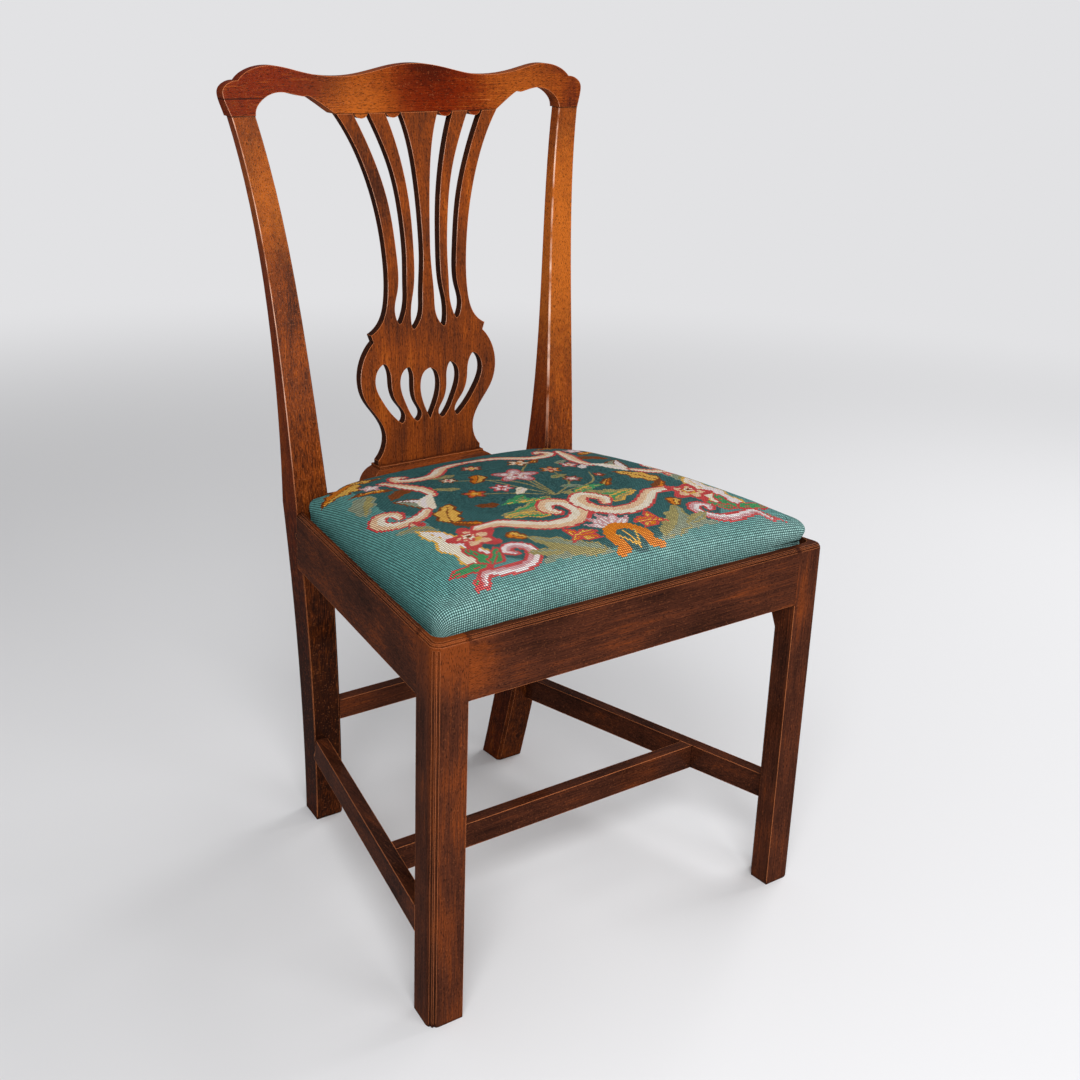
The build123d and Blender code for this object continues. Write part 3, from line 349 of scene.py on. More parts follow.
def mahogany(
    name, grain, tone, wear=1.0, contrast=1.0, ripple=0.0, glint=0.0,
    seams=(), patches=(), sides=None, flush=(),
):
    """Polished mahogany with its grain along one axis; tone runs from dark legs to a bright back.

    Seams are thin joint lines, each a height, the side of the chair that shows it, or 0 for
    both, and a colour. Patches are spots, each a centre, a reach, a colour and its strength:
    some are faded or stained timber, others are painted shade and painted highlights. Sides is
    a colour and its strength, painted as shade on the faces that look sideways.
    Flush joints, each an axis, a place and the height that it starts at, take no wear. Glint is
    the strength of a painted highlight, a pale line on the arrises that look to the front and the left.
    """
    look = bpy.context.scene.chair_timber
    finish = Finish(name)
    place = finish.place()
    parts = finish.split(place)

    def streaks(size, detail, distortion=0.0):
        return finish.streaks(place, grain, size, detail, distortion)

    figure = streaks(FIGURE_SIZE, detail=3.0, distortion=0.9)
    fibre = streaks((look.fibre_length, look.fibre_width), detail=4.0, distortion=0.3)
    pores = finish.between(streaks((look.pore_length, look.pore_width), detail=1.0), 0.54, 0.68)
    patina = finish.clouds(place, PATINA_SIZE)
    mottle = finish.clouds(place, MOTTLE_SIZE, detail=5.0)
    speckle = finish.clouds(place, SPECKLE_SIZE, detail=1.0)
    rubbing = finish.clouds(place, RUBBING_SIZE, detail=4.0)
    shade = tone + contrast * (0.55 * (figure - 0.5) + 0.6 * (fibre - 0.5) + 0.5 * (patina - 0.5))
    if ripple:
        shade = shade + ripple * (streaks(RIPPLE_SIZE, detail=1.0, distortion=0.6) - 0.5)
    stops = [(0.0, look.deep), (0.3, look.umber), (0.62, look.russet), (1.0, look.amber)]
    colour = finish.ramp(shade, stops)
    sharp = finish.node("ShaderNodeNewGeometry", out="Normal")
    # Painted shade: faces that look sideways are darkened towards the given colour.
    if sides:
        facing = finish.vector("DOT_PRODUCT", sharp, FORWARD, out="Value")
        side_shade = 1 - finish.between(abs(facing), 0.4, 0.8)
        colour = finish.mix(sides[1] * side_shade, colour, sides[0])
    # Patches lay a colour over ragged spots: some are fading or stains, others are painted shade and
    # painted highlights.
    for centre, reach, patch_tint, strength in patches:
        away = finish.vector("DISTANCE", place, centre, out="Value")
        ragged = away + reach * (0.7 * (mottle - 0.5) + 0.9 * (fibre - 0.5))
        colour = finish.mix(strength * (1 - finish.between(ragged, 0.1 * reach, reach)), colour, patch_tint)
    colour = finish.mix(0.7 * pores, colour, look.grime_and_shade)
    colour = finish.mix(0.1 * wear * finish.between(speckle, 0.62, 0.74), colour, look.worn)

    # Painted shade with grime: corners, hollows and gaps between parts are darkened.
    closed = 1 - finish.openness(HOLLOW_SHADE_REACH)
    colour = finish.mix(0.85 * finish.between(closed, 0.3, 0.75), colour, look.grime_and_shade)
    soft = finish.node("ShaderNodeBevel", {"samples": 6}, {"Radius": look.arris_radius}, out="Normal")
    turned = 1 - finish.vector("DOT_PRODUCT", soft, sharp, out="Value")
    hollow = finish.between(closed, 0.05, 0.22)
    # Painted shade with grime in the grooves and the inside corners of mouldings.
    colour = finish.mix(0.85 * hollow * finish.between(turned, 0.01, 0.06), colour, look.grime_and_shade)
    rubbed = wear * (1 - hollow) * finish.between(turned * (0.2 + 1.6 * rubbing), 0.02, 0.14)
    for axis, spot, height in flush:
        near = 1 - finish.between(abs(abs(parts[axis]) - abs(spot)), *FLUSH_CLEAR)
        rubbed = rubbed * (1 - near * finish.between(parts[UPRIGHT], height - MM, height))
    colour = finish.mix(rubbed, colour, look.worn)
    # Painted highlight: a pale line on the arrises that face the front and the left, on the back only.
    if glint:
        lit = finish.vector("DOT_PRODUCT", soft, GLINT_SIDE, out="Value")
        caught = glint * finish.between(lit, 0.91, 0.98) * finish.between(rubbing, 0.3, 0.62)
        colour = finish.mix(caught * finish.between(parts[UPRIGHT], *GLINT_HEIGHT), colour, look.glint)
    for height, side, line in seams:
        off = abs(parts[UPRIGHT] - height + SEAM_WANDER * (fibre - 0.5))
        cut = 0.8 * (1 - finish.between(off, *SEAM_HALF))
        if side:
            cut = cut * finish.between(side * parts[ACROSS], *SEAM_SIDE)
        colour = finish.mix(cut, colour, line)
    relief = 0.35 * fibre - pores + 0.5 * mottle
    return finish.surface(
        Base_Color=colour,
        Roughness=0.34 + 0.3 * (mottle - 0.5) + 0.16 * pores + 0.1 * rubbed,
        Normal=finish.bump(relief, strength=0.32, distance=0.0004, Normal=soft),
        Coat_Weight=look.polish,
        Coat_Roughness=0.12,
        Specular_IOR_Level=0.0,
    )


# Sizes of the beech's grain in metres.
BEECH_FIBRE = (0.05, 0.0018)
BEECH_FLECK = (0.004, 0.0007)
BEECH_STAIN = 0.06


def plain_beech(name, grain):
    """Unpolished pale timber with fine flecks."""
    look = bpy.context.scene.chair_timber
    finish = Finish(name)
    place = finish.place()
    fibre = finish.streaks(place, grain, BEECH_FIBRE, detail=4.0, distortion=0.4)
    flecks = finish.between(finish.streaks(place, grain, BEECH_FLECK, detail=1.0), 0.6, 0.7)
    patch_tint = finish.clouds(place, BEECH_STAIN)
    colour = finish.mix(0.55 * fibre + 0.35 * patch_tint, look.beech, look.russet)
    return finish.surface(
        Base_Color=finish.mix(0.5 * flecks, colour, look.umber),
        Roughness=0.62 + 0.2 * (fibre - 0.5),
        Normal=finish.bump(fibre, strength=0.4, distance=0.0005),
    )


class SIDECHAIR_OT_polish_back(Operator):
    """Polish the back posts, the crest rail, the splat and its shoe"""

    bl_idname = "side_chair.polish_back"
    bl_label = "Polish Back"

    JOINT_DROP = 0.018
    PATCH_LINE = 0.0185

    def execute(self, context):
        look = context.scene.chair_timber
        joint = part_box("back_post_right")[1].z - self.JOINT_DROP
        low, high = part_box("crest_rail")
        front, top = low.y, high.z
        posts = mahogany(
            "mahogany_posts", UPRIGHT, 0.53, wear=1.7, contrast=1.3, glint=0.85,
            seams=[(joint, 0, look.grime_and_shade)],
            # Painted shade on the posts' faces that look sideways.
            sides=(look.cherry, 0.45),
            patches=[
                # Partly faded timber and partly a painted highlight on the upper posts.
                ((0.19, 0.17, 0.74), 0.22, look.amber, 0.7),
                ((-0.2, 0.17, 0.82), 0.1, look.amber, 0.6),
                # Painted shade: the rear legs below the seat are darkened.
                ((-0.19, 0.17, 0.16), 0.5, look.deep, 0.9),
                ((0.19, 0.17, 0.16), 0.44, look.deep, 0.5),
            ],
        )
        crest = mahogany(
            "mahogany_crest", ACROSS, 0.54, wear=1.2, contrast=1.8, ripple=0.5, glint=0.7,
            seams=[(joint, 0, look.grime_and_shade), (joint + self.PATCH_LINE, -1, look.grime_and_shade)],
            patches=[
                ((0.0, front, top), 0.6, look.cherry, 0.5),
                ((-0.09, front, top - 0.065), 0.1, look.amber, 0.5),
                ((0.15, front, top - 0.035), 0.09, look.amber, 0.3),
                ((0.03, front, top - 0.03), 0.1, look.cherry, 0.95),
                ((0.02, front, top + 0.005), 0.06, look.deep, 0.65),
                ((-0.13, front, top - 0.005), 0.06, look.deep, 0.5),
                ((-0.2, front, top - 0.01), 0.12, look.cherry, 0.9),
            ],
        )
        # The splat's faces that look sideways, the walls of its slots among them, get painted shade.
        splat = mahogany("mahogany_splat", UPRIGHT, 0.49, contrast=1.1, glint=0.8, sides=(look.deep, 0.85))
        dress(["back_post_left", "back_post_right"], posts)
        dress(["crest_rail"], crest)
        dress(["splat"], splat)
        dress(["splat_shoe"], mahogany("mahogany_shoe", ACROSS, 0.44))
        return {"FINISHED"}


class SIDECHAIR_OT_polish_seat_rails(Operator):
    """Polish the four rails of the seat frame"""

    bl_idname = "side_chair.polish_seat_rails"
    bl_label = "Polish Seat Rails"

    def execute(self, context):
        look = context.scene.chair_timber
        low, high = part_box("front_seat_rail")
        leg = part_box("front_leg_left")[1]
        faded = ((leg.x, low.y, (low.z + high.z) / 2), 0.05, look.russet, 0.7)
        across = mahogany(
            "mahogany_cross_rails", ACROSS, 0.27, wear=0.75, patches=[faded], flush=[(ACROSS, leg.x, 0.0)]
        )
        along = mahogany("mahogany_side_rails", ALONG, 0.3, wear=0.75, flush=[(ALONG, leg.y, 0.0)])
        dress(["front_seat_rail", "rear_seat_rail"], across)
        dress(["side_seat_rail_left", "side_seat_rail_right"], along)
        return {"FINISHED"}


class SIDECHAIR_OT_polish_legs(Operator):
    """Polish the front legs, whose tops are rubbed and faded"""

    bl_idname = "side_chair.polish_legs"
    bl_label = "Polish Front Legs"

    FADED_IN = 0.012

    def execute(self, context):
        look = context.scene.chair_timber
        low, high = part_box("front_leg_left")
        faded = ((high.x - self.FADED_IN, low.y, high.z), 0.075, look.russet, 0.7)
        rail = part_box("front_seat_rail")[0].z
        legs = mahogany(
            "mahogany_legs", UPRIGHT, 0.3, wear=0.8, patches=[faded],
            flush=[(ACROSS, high.x, rail), (ALONG, high.y, rail)],
        )
        dress(["front_leg_left", "front_leg_right"], legs)
        return {"FINISHED"}


class SIDECHAIR_OT_polish_stretchers(Operator):
    """Polish the stretchers and the pegs of the joints"""

    bl_idname = "side_chair.polish_stretchers"
    bl_label = "Polish Stretchers"

    def execute(self, context):
        along = mahogany("mahogany_side_stretchers", ALONG, 0.23)
        across = mahogany("mahogany_cross_stretchers", ACROSS, 0.25)
        dress(["side_stretcher_left", "side_stretcher_right"], along)
        dress(["cross_stretcher", "rear_stretcher"], across)
        dress(["joint_pegs"], mahogany("mahogany_pegs", ACROSS, 0.16, wear=0.4))
        return {"FINISHED"}


class SIDECHAIR_OT_finish_hidden_timber(Operator):
    """Finish the glue blocks and the loose seat frame in plain beech"""

    bl_idname = "side_chair.finish_hidden_timber"
    bl_label = "Finish Hidden Timber"

    def execute(self, context):
        across = plain_beech("beech_across", ACROSS)
        along = plain_beech("beech_along", ALONG)
        blocks = [
            f"corner_block_{end}_{hand}" for end in ("front", "rear") for hand in ("left", "right")
        ]
        dress([*blocks, "seat_frame_front", "seat_frame_back"], across)
        dress(["seat_frame_left", "seat_frame_right"], along)
        return {"FINISHED"}


class SIDECHAIR_OT_blacken_tacks(Operator):
    """Give the cover's tacks a blued and rusted surface"""

    bl_idname = "side_chair.blacken_tacks"
    bl_label = "Blacken Tacks"

    RUST_SIZE = 0.002

    def execute(self, context):
        finish = Finish("tack_iron_aged")
        rust = finish.between(finish.clouds(finish.place(), self.RUST_SIZE, detail=4.0), 0.45, 0.62)
        iron = finish.surface(
            Base_Color=finish.mix(rust, linear(58, 58, 62), linear(112, 66, 40)),
            Metallic=0.9 - 0.7 * rust,
            Roughness=0.4 + 0.4 * rust,
        )
        dress(["cover_tacks"], iron)
        return {"FINISHED"}


def round_max(first, second, radius):
    """The larger of two distances, with the corner where they cross rounded."""
    corner = np.hypot(np.maximum(radius + first, 0), np.maximum(radius + second, 0))
    return np.minimum(-radius, np.maximum(first, second)) + corner


def round_min(first, second, radius):
    return -round_max(-first, -second, radius)


class SeatShape:
    """Outline, crown and rolled edge of the needlework seat, in metres."""

    SPLAY = 0.16
    FRONT_HALF = 0.2546
    NOTCH_HALF = 0.1562
    TONGUE = 0.010
    FRONT_CORNER = 0.022
    REAR_CORNER = 0.009
    INNER_CORNER = 0.075
    ACROSS_RADIUS = 3.0
    ALONG_RADIUS = 1.63
    CROWN_FORWARD = 0.042
    NUDGE = 0.0004
    LIP_BULGE = 0.0012
    CORNER_BULGE = 0.0065
    CORNER_REACH = 0.055
    BULGE_LOW = 0.4515
    BULGE_HIGH = 0.4865

    def __init__(self, look):
        low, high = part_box("needlework_cover")
        self.front, self.back = low.y, high.y
        self.bottom = low.z
        self.top = high.z + look.dome - look.swell
        self.roll_in, self.roll_down = look.roll_in, look.roll_down
        self.drawn_in = look.drawn_in
        self.hem = look.hem
        self.notch = self.back - self.TONGUE
        self.middle = (self.front + self.back) / 2
        self.half_depth = (self.back - self.front) / 2
        self.turns = np.linspace(0, math.pi / 2, 200)
        inward, down = self.roll_in * np.sin(self.turns), self.roll_down * np.cos(self.turns)
        self.runs = np.concatenate([[0], np.cumsum(np.hypot(np.diff(inward), np.diff(down)))])

    def half_width(self, y):
        return self.FRONT_HALF - self.SPLAY * (y - self.front)

    def outline(self, x, y, front_corner, rear_corner):
        """How far a point lies outside the outline, below zero inside it."""
        bow_front = self.drawn_in * (1 - (x / self.FRONT_HALF) ** 2)
        bow_side = self.drawn_in * (1 - ((y - self.middle) / self.half_depth) ** 2)
        side = (np.abs(x) - self.half_width(y) + bow_side) / math.hypot(1, self.SPLAY)
        body = round_max(self.front - y + bow_front, side, front_corner)
        tongue = round_max(np.abs(x) - self.NOTCH_HALF, y - self.back, rear_corner)
        rear = round_min(y - self.notch, tongue, rear_corner)
        return round_max(body, rear, rear_corner)

    def beyond(self, x, y):
        """The same distance, with corners that grow rounder towards the top of the pad."""
        sharp = self.outline(x, y, self.FRONT_CORNER, self.REAR_CORNER)
        soft = self.outline(x, y, self.INNER_CORNER, self.INNER_CORNER)
        inside = np.clip(-sharp / (0.9 * self.roll_in), 0, 1)
        return sharp + inside**2 * (3 - 2 * inside) * (soft - sharp)

    def outward(self, x, y):
        """Direction straight out of the outline."""
        step = self.NUDGE
        out_x = self.beyond(x + step, y) - self.beyond(x - step, y)
        out_y = self.beyond(x, y + step) - self.beyond(x, y - step)
        size = np.maximum(np.hypot(out_x, out_y), 1e-12)
        return out_x / size, out_y / size

    def crown(self, x, y):
        fall = x**2 / (2 * self.ACROSS_RADIUS)
        fall = fall + (y - self.middle + self.CROWN_FORWARD) ** 2 / (2 * self.ALONG_RADIUS)
        return self.top - fall

    def drape(self, x, y):
        """Lays flat canvas over the pad: places, surface normals and how much canvas is left over."""
        out_x, out_y = self.outward(x, y)
        hem = self.hem * (1 - np.clip((out_y - 0.3) / 0.3, 0, 1))
        _, _, under = self.fold(x, y, out_x, out_y)
        over = np.maximum(under - hem, 0)
        place, normal, _ = self.fold(x - out_x * over, y - out_y * over, out_x, out_y)
        return place, normal, under - hem

    def fold(self, x, y, out_x, out_y):
        """Folds canvas that runs past the start of the rolled edge down the side and under."""
        past = np.maximum(self.beyond(x, y) + self.roll_in, 0)
        turn = np.interp(past, self.runs, self.turns)
        shift = self.roll_in * np.sin(turn) - past
        x, y = x + out_x * shift, y + out_y * shift
        drop = self.roll_down * (1 - np.cos(turn)) + np.maximum(past - self.runs[-1], 0)
        z = self.crown(x, y) - drop
        under = self.bottom - z
        z = np.maximum(z, self.bottom)
        swollen = np.sin(math.pi * np.clip((z - self.BULGE_LOW) / (self.BULGE_HIGH - self.BULGE_LOW), 0, 1))
        corner = np.hypot(x - self.FRONT_HALF, y - self.front) / self.CORNER_REACH
        bulge = (self.LIP_BULGE + self.CORNER_BULGE * np.exp(-(corner**2))) * swollen * np.sin(turn)
        shift = bulge - np.maximum(under, 0)
        x, y = x + out_x * shift, y + out_y * shift
        tilt = np.arctan2(self.roll_down * np.sin(turn), self.roll_in * np.cos(turn))
        tilt = np.where(under > 0, math.pi, tilt)
        normal = np.stack([out_x * np.sin(tilt), out_y * np.sin(tilt), np.cos(tilt)], -1)
        return np.stack([x, y, z], -1), normal, under


WOOLS = (
    "border", "ground", "cream", "blush", "red", "gold", "orange",
    "olive", "sage", "green", "brown", "mauve", "white",
)


class Canvas:
    """Wool laid stitch by stitch, in millimetres from the middle of the front rail's face."""

    RIM = 3.3

    def __init__(self, x, y):
        self.x, self.y = x, y
        self.wool = np.zeros(x.shape, np.int8)

    def paint(self, where, wool):
        self.wool[where] = WOOLS.index(wool)

    def oval(self, centre, half_width, half_depth, narrowing, squareness):
        """Where an oval lies that narrows towards the back and is the squarer, the higher its power."""
        across = (self.x - centre[0]) / (half_width - narrowing * (self.y - centre[1]))
        along = (self.y - centre[1]) / half_depth
        return np.abs(across) ** squareness + np.abs(along) ** squareness < 1

    def leaf(self, base, tip, width, lobes, light, dark, rim, bend=0.0):
        """A rimmed leaf of two wools with a vein; lobes notch its edge and bend curves it."""
        run = np.subtract(tip, base)
        size = math.hypot(*run)
        along = ((self.x - base[0]) * run[0] + (self.y - base[1]) * run[1]) / size**2
        across = ((self.x - base[0]) * -run[1] + (self.y - base[1]) * run[0]) / size
        inner = np.clip(along, 0, 1)
        across = across - bend * 4 * size * inner * (1 - inner)
        half = width / 2 * np.sin(math.pi * inner**0.75) ** 0.8
        half = half * (1 - 0.3 * (0.5 + 0.5 * np.cos(2 * math.pi * lobes * inner)) * (lobes > 0))
        inside = (along > 0) & (along < 1) & (np.abs(across) < half)
        self.paint(inside, rim)
        filled = inside & (np.abs(across) < half - self.RIM)
        self.paint(filled & (across >= 0), light)
        self.paint(filled & (across < 0), dark)
        self.paint(inside & (np.abs(across) < 0.75) & (along < 0.82), rim)

    def flower(self, centre, radius, petals, light, dark, rim, eye, turn=0.0):
        """A rimmed flower, light inside and dark outside, with an eye in the middle."""
        far = np.hypot(self.x - centre[0], self.y - centre[1])
        round_it = np.arctan2(self.y - centre[1], self.x - centre[0]) + turn
        edge = radius * (0.8 + 0.2 * np.cos(petals * round_it))
        self.paint(far < edge, rim)
        inside = far < edge - self.RIM
        self.paint(inside, dark)
        self.paint(far < 0.62 * edge, light)
        self.paint(inside & (np.abs(np.cos(petals * round_it / 2)) < 0.16), rim)
        self.paint(far < 0.26 * radius, eye)

    def stroke(self, points, half, fills, rim):
        """A band along a line of complex points; half gives its half width at each share of the way."""
        places = self.x + 1j * self.y
        most = half(0.5) + 2 * self.RIM
        near = (places.real > points.real.min() - most) & (places.real < points.real.max() + most)
        near &= (places.imag > points.imag.min() - most) & (places.imag < points.imag.max() + most)
        spots = places[near]
        best = np.full(spots.shape, np.inf)
        where = np.zeros(spots.shape)
        side = np.zeros(spots.shape)
        for i, (first, last) in enumerate(zip(points[:-1], points[1:])):
            run = last - first
            turned = (spots - first) * np.conj(run) / abs(run) ** 2
            inner = np.clip(turned.real, 0, 1)
            far = np.abs(turned - inner) * abs(run)
            nearer = far < best
            best[nearer] = far[nearer]
            where[nearer] = ((i + inner) / (len(points) - 1))[nearer]
            side[nearer] = turned.imag[nearer]
        reach = half(where)
        wool = self.wool[near]
        wool[best < reach] = WOOLS.index(rim)
        filled = best < reach - self.RIM
        wool[filled & (side >= 0)] = WOOLS.index(fills[0])
        wool[filled & (side < 0)] = WOOLS.index(fills[1])
        self.wool[near] = wool

    def band(self, points, width, fills, rim):
        """A scroll along a smooth line through the given points, thinner towards both ends."""
        line = np.array([complex(*p) for p in points])
        line = np.concatenate([[2 * line[0] - line[1]], line, [2 * line[-1] - line[-2]]])
        steps = np.linspace(0, 1, 9)[:-1]
        curve = []
        for before, start, end, after in zip(line, line[1:], line[2:], line[3:]):
            lead, trail = (end - before) / 2, (after - start) / 2
            cubic = 2 * start - 2 * end + lead + trail
            square = -3 * start + 3 * end - 2 * lead - trail
            curve.extend(start + steps * (lead + steps * (square + steps * cubic)))
        curve.append(line[-2])

        def half(way):
            return width / 2 * (0.62 + 0.38 * np.sin(math.pi * way) ** 0.7)

        self.stroke(np.array(curve), half, fills, rim)

    def stem(self, points, wool, width):
        self.band(points, width, (wool, wool), wool)


def work_needlework(canvas):
    """A frame of scrolls on a dark field, with leaf sprays in the corners and a shell in front.

    Gives back the dark stitches that a posy may fill.
    """
    middle = 12
    canvas.paint(canvas.oval((middle, 218), 166, 182, 0.12, 3.6), "ground")
    canvas.paint(canvas.oval((middle, 300), 180, 104, 0.12, 4), "ground")
    for hand in (-1, 1):

        def at(x, y):
            return (middle + hand * x, y)

        def line(*points):
            return [at(*point) for point in points]

        def lean(amount):
            return amount * hand

        canvas.leaf(at(150, 384), at(214, 350), 44, 4, "gold", "orange", "brown", lean(-0.08))
        canvas.leaf(at(160, 390), at(112, 378), 20, 3, "gold", "gold", "brown", lean(0.1))
        canvas.leaf(at(136, 316), at(190, 326), 18, 2, "orange", "gold", "brown", lean(0.12))
        canvas.leaf(at(168, 318), at(206, 256), 34, 3, "olive", "sage", "sage", lean(0.08))
        canvas.flower(at(150, 344), 14, 5, "white", "mauve", "mauve", "white")
        canvas.leaf(at(118, 304), at(160, 280), 22, 2, "brown", "brown", "brown", lean(0.1))
        canvas.band(line((114, 264), (112, 290), (121, 318), (130, 352)), 20, ("cream", "blush"), "red")
        canvas.leaf(at(140, 226), at(164, 274), 28, 0, "sage", "white", "brown", lean(0.16))
        canvas.leaf(at(142, 222), at(112, 270), 20, 0, "white", "cream", "cream", lean(-0.12))
        canvas.band(
            line(
                (184, 224), (182, 236), (196, 242), (209, 228),
                (204, 210), (186, 205), (164, 211), (148, 224),
            ),
            23, ("cream", "blush"), "red",
        )
        canvas.leaf(at(180, 204), at(186, 166), 20, 0, "red", "blush", "red")
        canvas.leaf(at(170, 166), at(214, 184), 24, 3, "sage", "olive", "sage", lean(0.16))
        canvas.leaf(at(180, 60), at(192, 180), 52, 3, "cream", "white", "gold", lean(0.08))
        for tip, wide in (((180, 112), 24), ((226, 62), 26), ((146, 96), 22), ((214, 26), 16)):
            canvas.leaf(at(172, 60), at(*tip), wide, 2, "green", "green", "red", lean(0.08))
        canvas.band(
            line(
                (136, 70), (142, 80), (130, 88), (118, 76), (121, 58),
                (138, 46), (168, 46), (188, 50), (198, 34),
            ),
            18, ("white", "mauve"), "red",
        )
        canvas.leaf(at(34, 32), at(124, 40), 24, 4, "sage", "sage", "sage", lean(0.12))
        canvas.leaf(at(40, 36), at(104, 98), 38, 4, "olive", "sage", "olive", lean(-0.1))
        canvas.leaf(at(88, 50), at(126, 66), 20, 3, "olive", "sage", "olive")
        canvas.leaf(at(30, 58), at(58, 98), 22, 2, "gold", "orange", "red", lean(-0.16))
        canvas.leaf(at(24, 74), at(68, 60), 18, 2, "orange", "gold", "red", lean(0.16))
        canvas.leaf(at(148, 170), at(116, 226), 36, 3, "gold", "gold", "brown", lean(-0.08))
        canvas.leaf(at(120, 150), at(150, 178), 20, 2, "brown", "orange", "brown", lean(-0.1))
        canvas.leaf(at(10, 182), at(96, 158), 26, 4, "olive", "green", "olive", lean(-0.1))
        canvas.leaf(at(22, 176), at(74, 186), 18, 3, "gold", "olive", "green", lean(0.08))
        canvas.leaf(at(44, 132), at(96, 152), 22, 2, "green", "olive", "gold", lean(0.1))
        canvas.band(
            line(
                (34, 134), (40, 148), (26, 165), (8, 152), (11, 124),
                (34, 107), (64, 110), (88, 126), (108, 142), (136, 143),
            ),
            26, ("blush", "cream"), "red",
        )
        canvas.leaf(at(118, 116), at(104, 92), 22, 2, "gold", "orange", "brown")
        canvas.flower(at(152, 124), 31, 5, "blush", "red", "red", "gold", 0.3 * hand)
        canvas.flower(at(156, 130), 12, 5, "cream", "gold", "red", "brown", 0.9 * hand)
        canvas.band(
            line(
                (98, 354), (108, 362), (111, 344), (94, 333), (72, 333),
                (56, 345), (42, 359), (20, 366), (0, 368),
            ),
            20, ("cream", "blush"), "red",
        )
    canvas.band([(-6, 98), (4, 110), (12, 114), (20, 110), (30, 98)], 6, ("red", "red"), "red")
    for reach in (-1.1, -0.55, 0, 0.55, 1.1):
        tip = (middle + 34 * math.sin(reach), 74 + 38 * math.cos(reach))
        canvas.leaf((middle, 72), tip, 15, 0, "white", "white", "mauve")
    shell = [(-16, 28), (-6, 34), (-9, 50), (0, 68), (12, 73), (24, 68), (33, 50), (30, 34), (40, 28)]
    canvas.band(shell, 17, ("orange", "orange"), "orange")
    canvas.paint(canvas.oval((middle, 44), 13, 22, 0, 2.5), "ground")
    for reach in (-0.5, 0, 0.5):
        tip = (middle + 30 * math.sin(reach), 32 + 30 * math.cos(reach))
        canvas.stem([(middle, 30), tip], "gold", 3)
    dark = canvas.wool == WOOLS.index("ground")
    return dark & canvas.oval((middle, 252), 118, 116, 0, 3)


def work_posy(canvas):
    """Flowers, buds and leaves in small stitches over the middle of the seat."""
    foot = (12, 182)
    stems = (
        ((-30, 214), (-62, 232)), ((-6, 220), (-22, 272)), ((14, 220), (18, 256)), ((52, 210), (66, 262)),
        ((78, 200), (102, 236)), ((0, 250), (-58, 296)), ((30, 270), (60, 306)),
    )
    for bend, tip in stems:
        canvas.stem([foot, bend, tip], "olive", 2.8)
    leaves = (
        ((-20, 200), (-52, 192), 16, "olive", "green"), ((34, 204), (62, 190), 14, "green", "sage"),
        ((-18, 300), (-44, 268), 26, "gold", "orange"), ((-62, 190), (-88, 202), 18, "brown", "brown"),
        ((-66, 262), (-92, 284), 14, "sage", "olive"), ((70, 306), (90, 324), 14, "orange", "gold"),
        ((84, 180), (110, 204), 16, "gold", "orange"), ((92, 284), (116, 300), 14, "olive", "sage"),
        ((-38, 318), (-72, 322), 16, "sage", "olive"), ((46, 236), (72, 240), 13, "green", "olive"),
        ((-6, 226), (-26, 206), 15, "white", "cream"), ((104, 254), (126, 268), 13, "cream", "white"),
    )
    for base, tip, wide, light, dark in leaves:
        rim = "brown" if light in ("gold", "orange") else dark
        canvas.leaf(base, tip, wide, 2, light, dark, rim, 0.08)
    flowers = (
        ((-64, 236), 16, "orange", "red", "gold"), ((-26, 236), 15, "white", "mauve", "red"),
        ((18, 270), 30, "white", "mauve", "blush"), ((68, 268), 15, "blush", "orange", "red"),
        ((102, 276), 13, "white", "mauve", "gold"), ((66, 222), 13, "mauve", "red", "cream"),
        ((106, 222), 9, "red", "red", "blush"), ((-58, 300), 12, "cream", "blush", "red"),
        ((56, 318), 17, "cream", "blush", "orange"), ((-4, 332), 15, "blush", "red", "gold"),
    )
    for n, (centre, radius, light, dark, eye) in enumerate(flowers):
        rim = "red" if dark == "mauve" else "brown"
        canvas.flower(centre, radius, 5 + n % 2, light, dark, rim, eye, 0.7 * n)
    canvas.flower((18, 270), 15, 6, "white", "blush", "mauve", "red", 0.3)


def grid_faces(index):
    """The four-sided faces of a grid of point numbers."""
    corners = [index[:-1, :-1], index[1:, :-1], index[1:, 1:], index[:-1, 1:]]
    return np.stack(corners, -1).reshape(-1, 4)


def draped(shape, x, y):
    """Flat canvas laid over the pad: its points, their normals, their grid places and the faces."""
    place, normal, left = shape.drape(x, y)
    quads = grid_faces(np.arange(x.size).reshape(x.shape))
    quads = quads[(left.ravel()[quads] < 0).any(1)]
    used = np.unique(quads)
    order = np.full(x.size, -1)
    order[used] = np.arange(len(used))
    return place.reshape(-1, 3)[used], normal.reshape(-1, 3)[used], used, order[quads].tolist()


CLOTH_FRAMES = 20
CLOTH_PRESSURE = 4.0
CLOTH_TENSION = 30.0


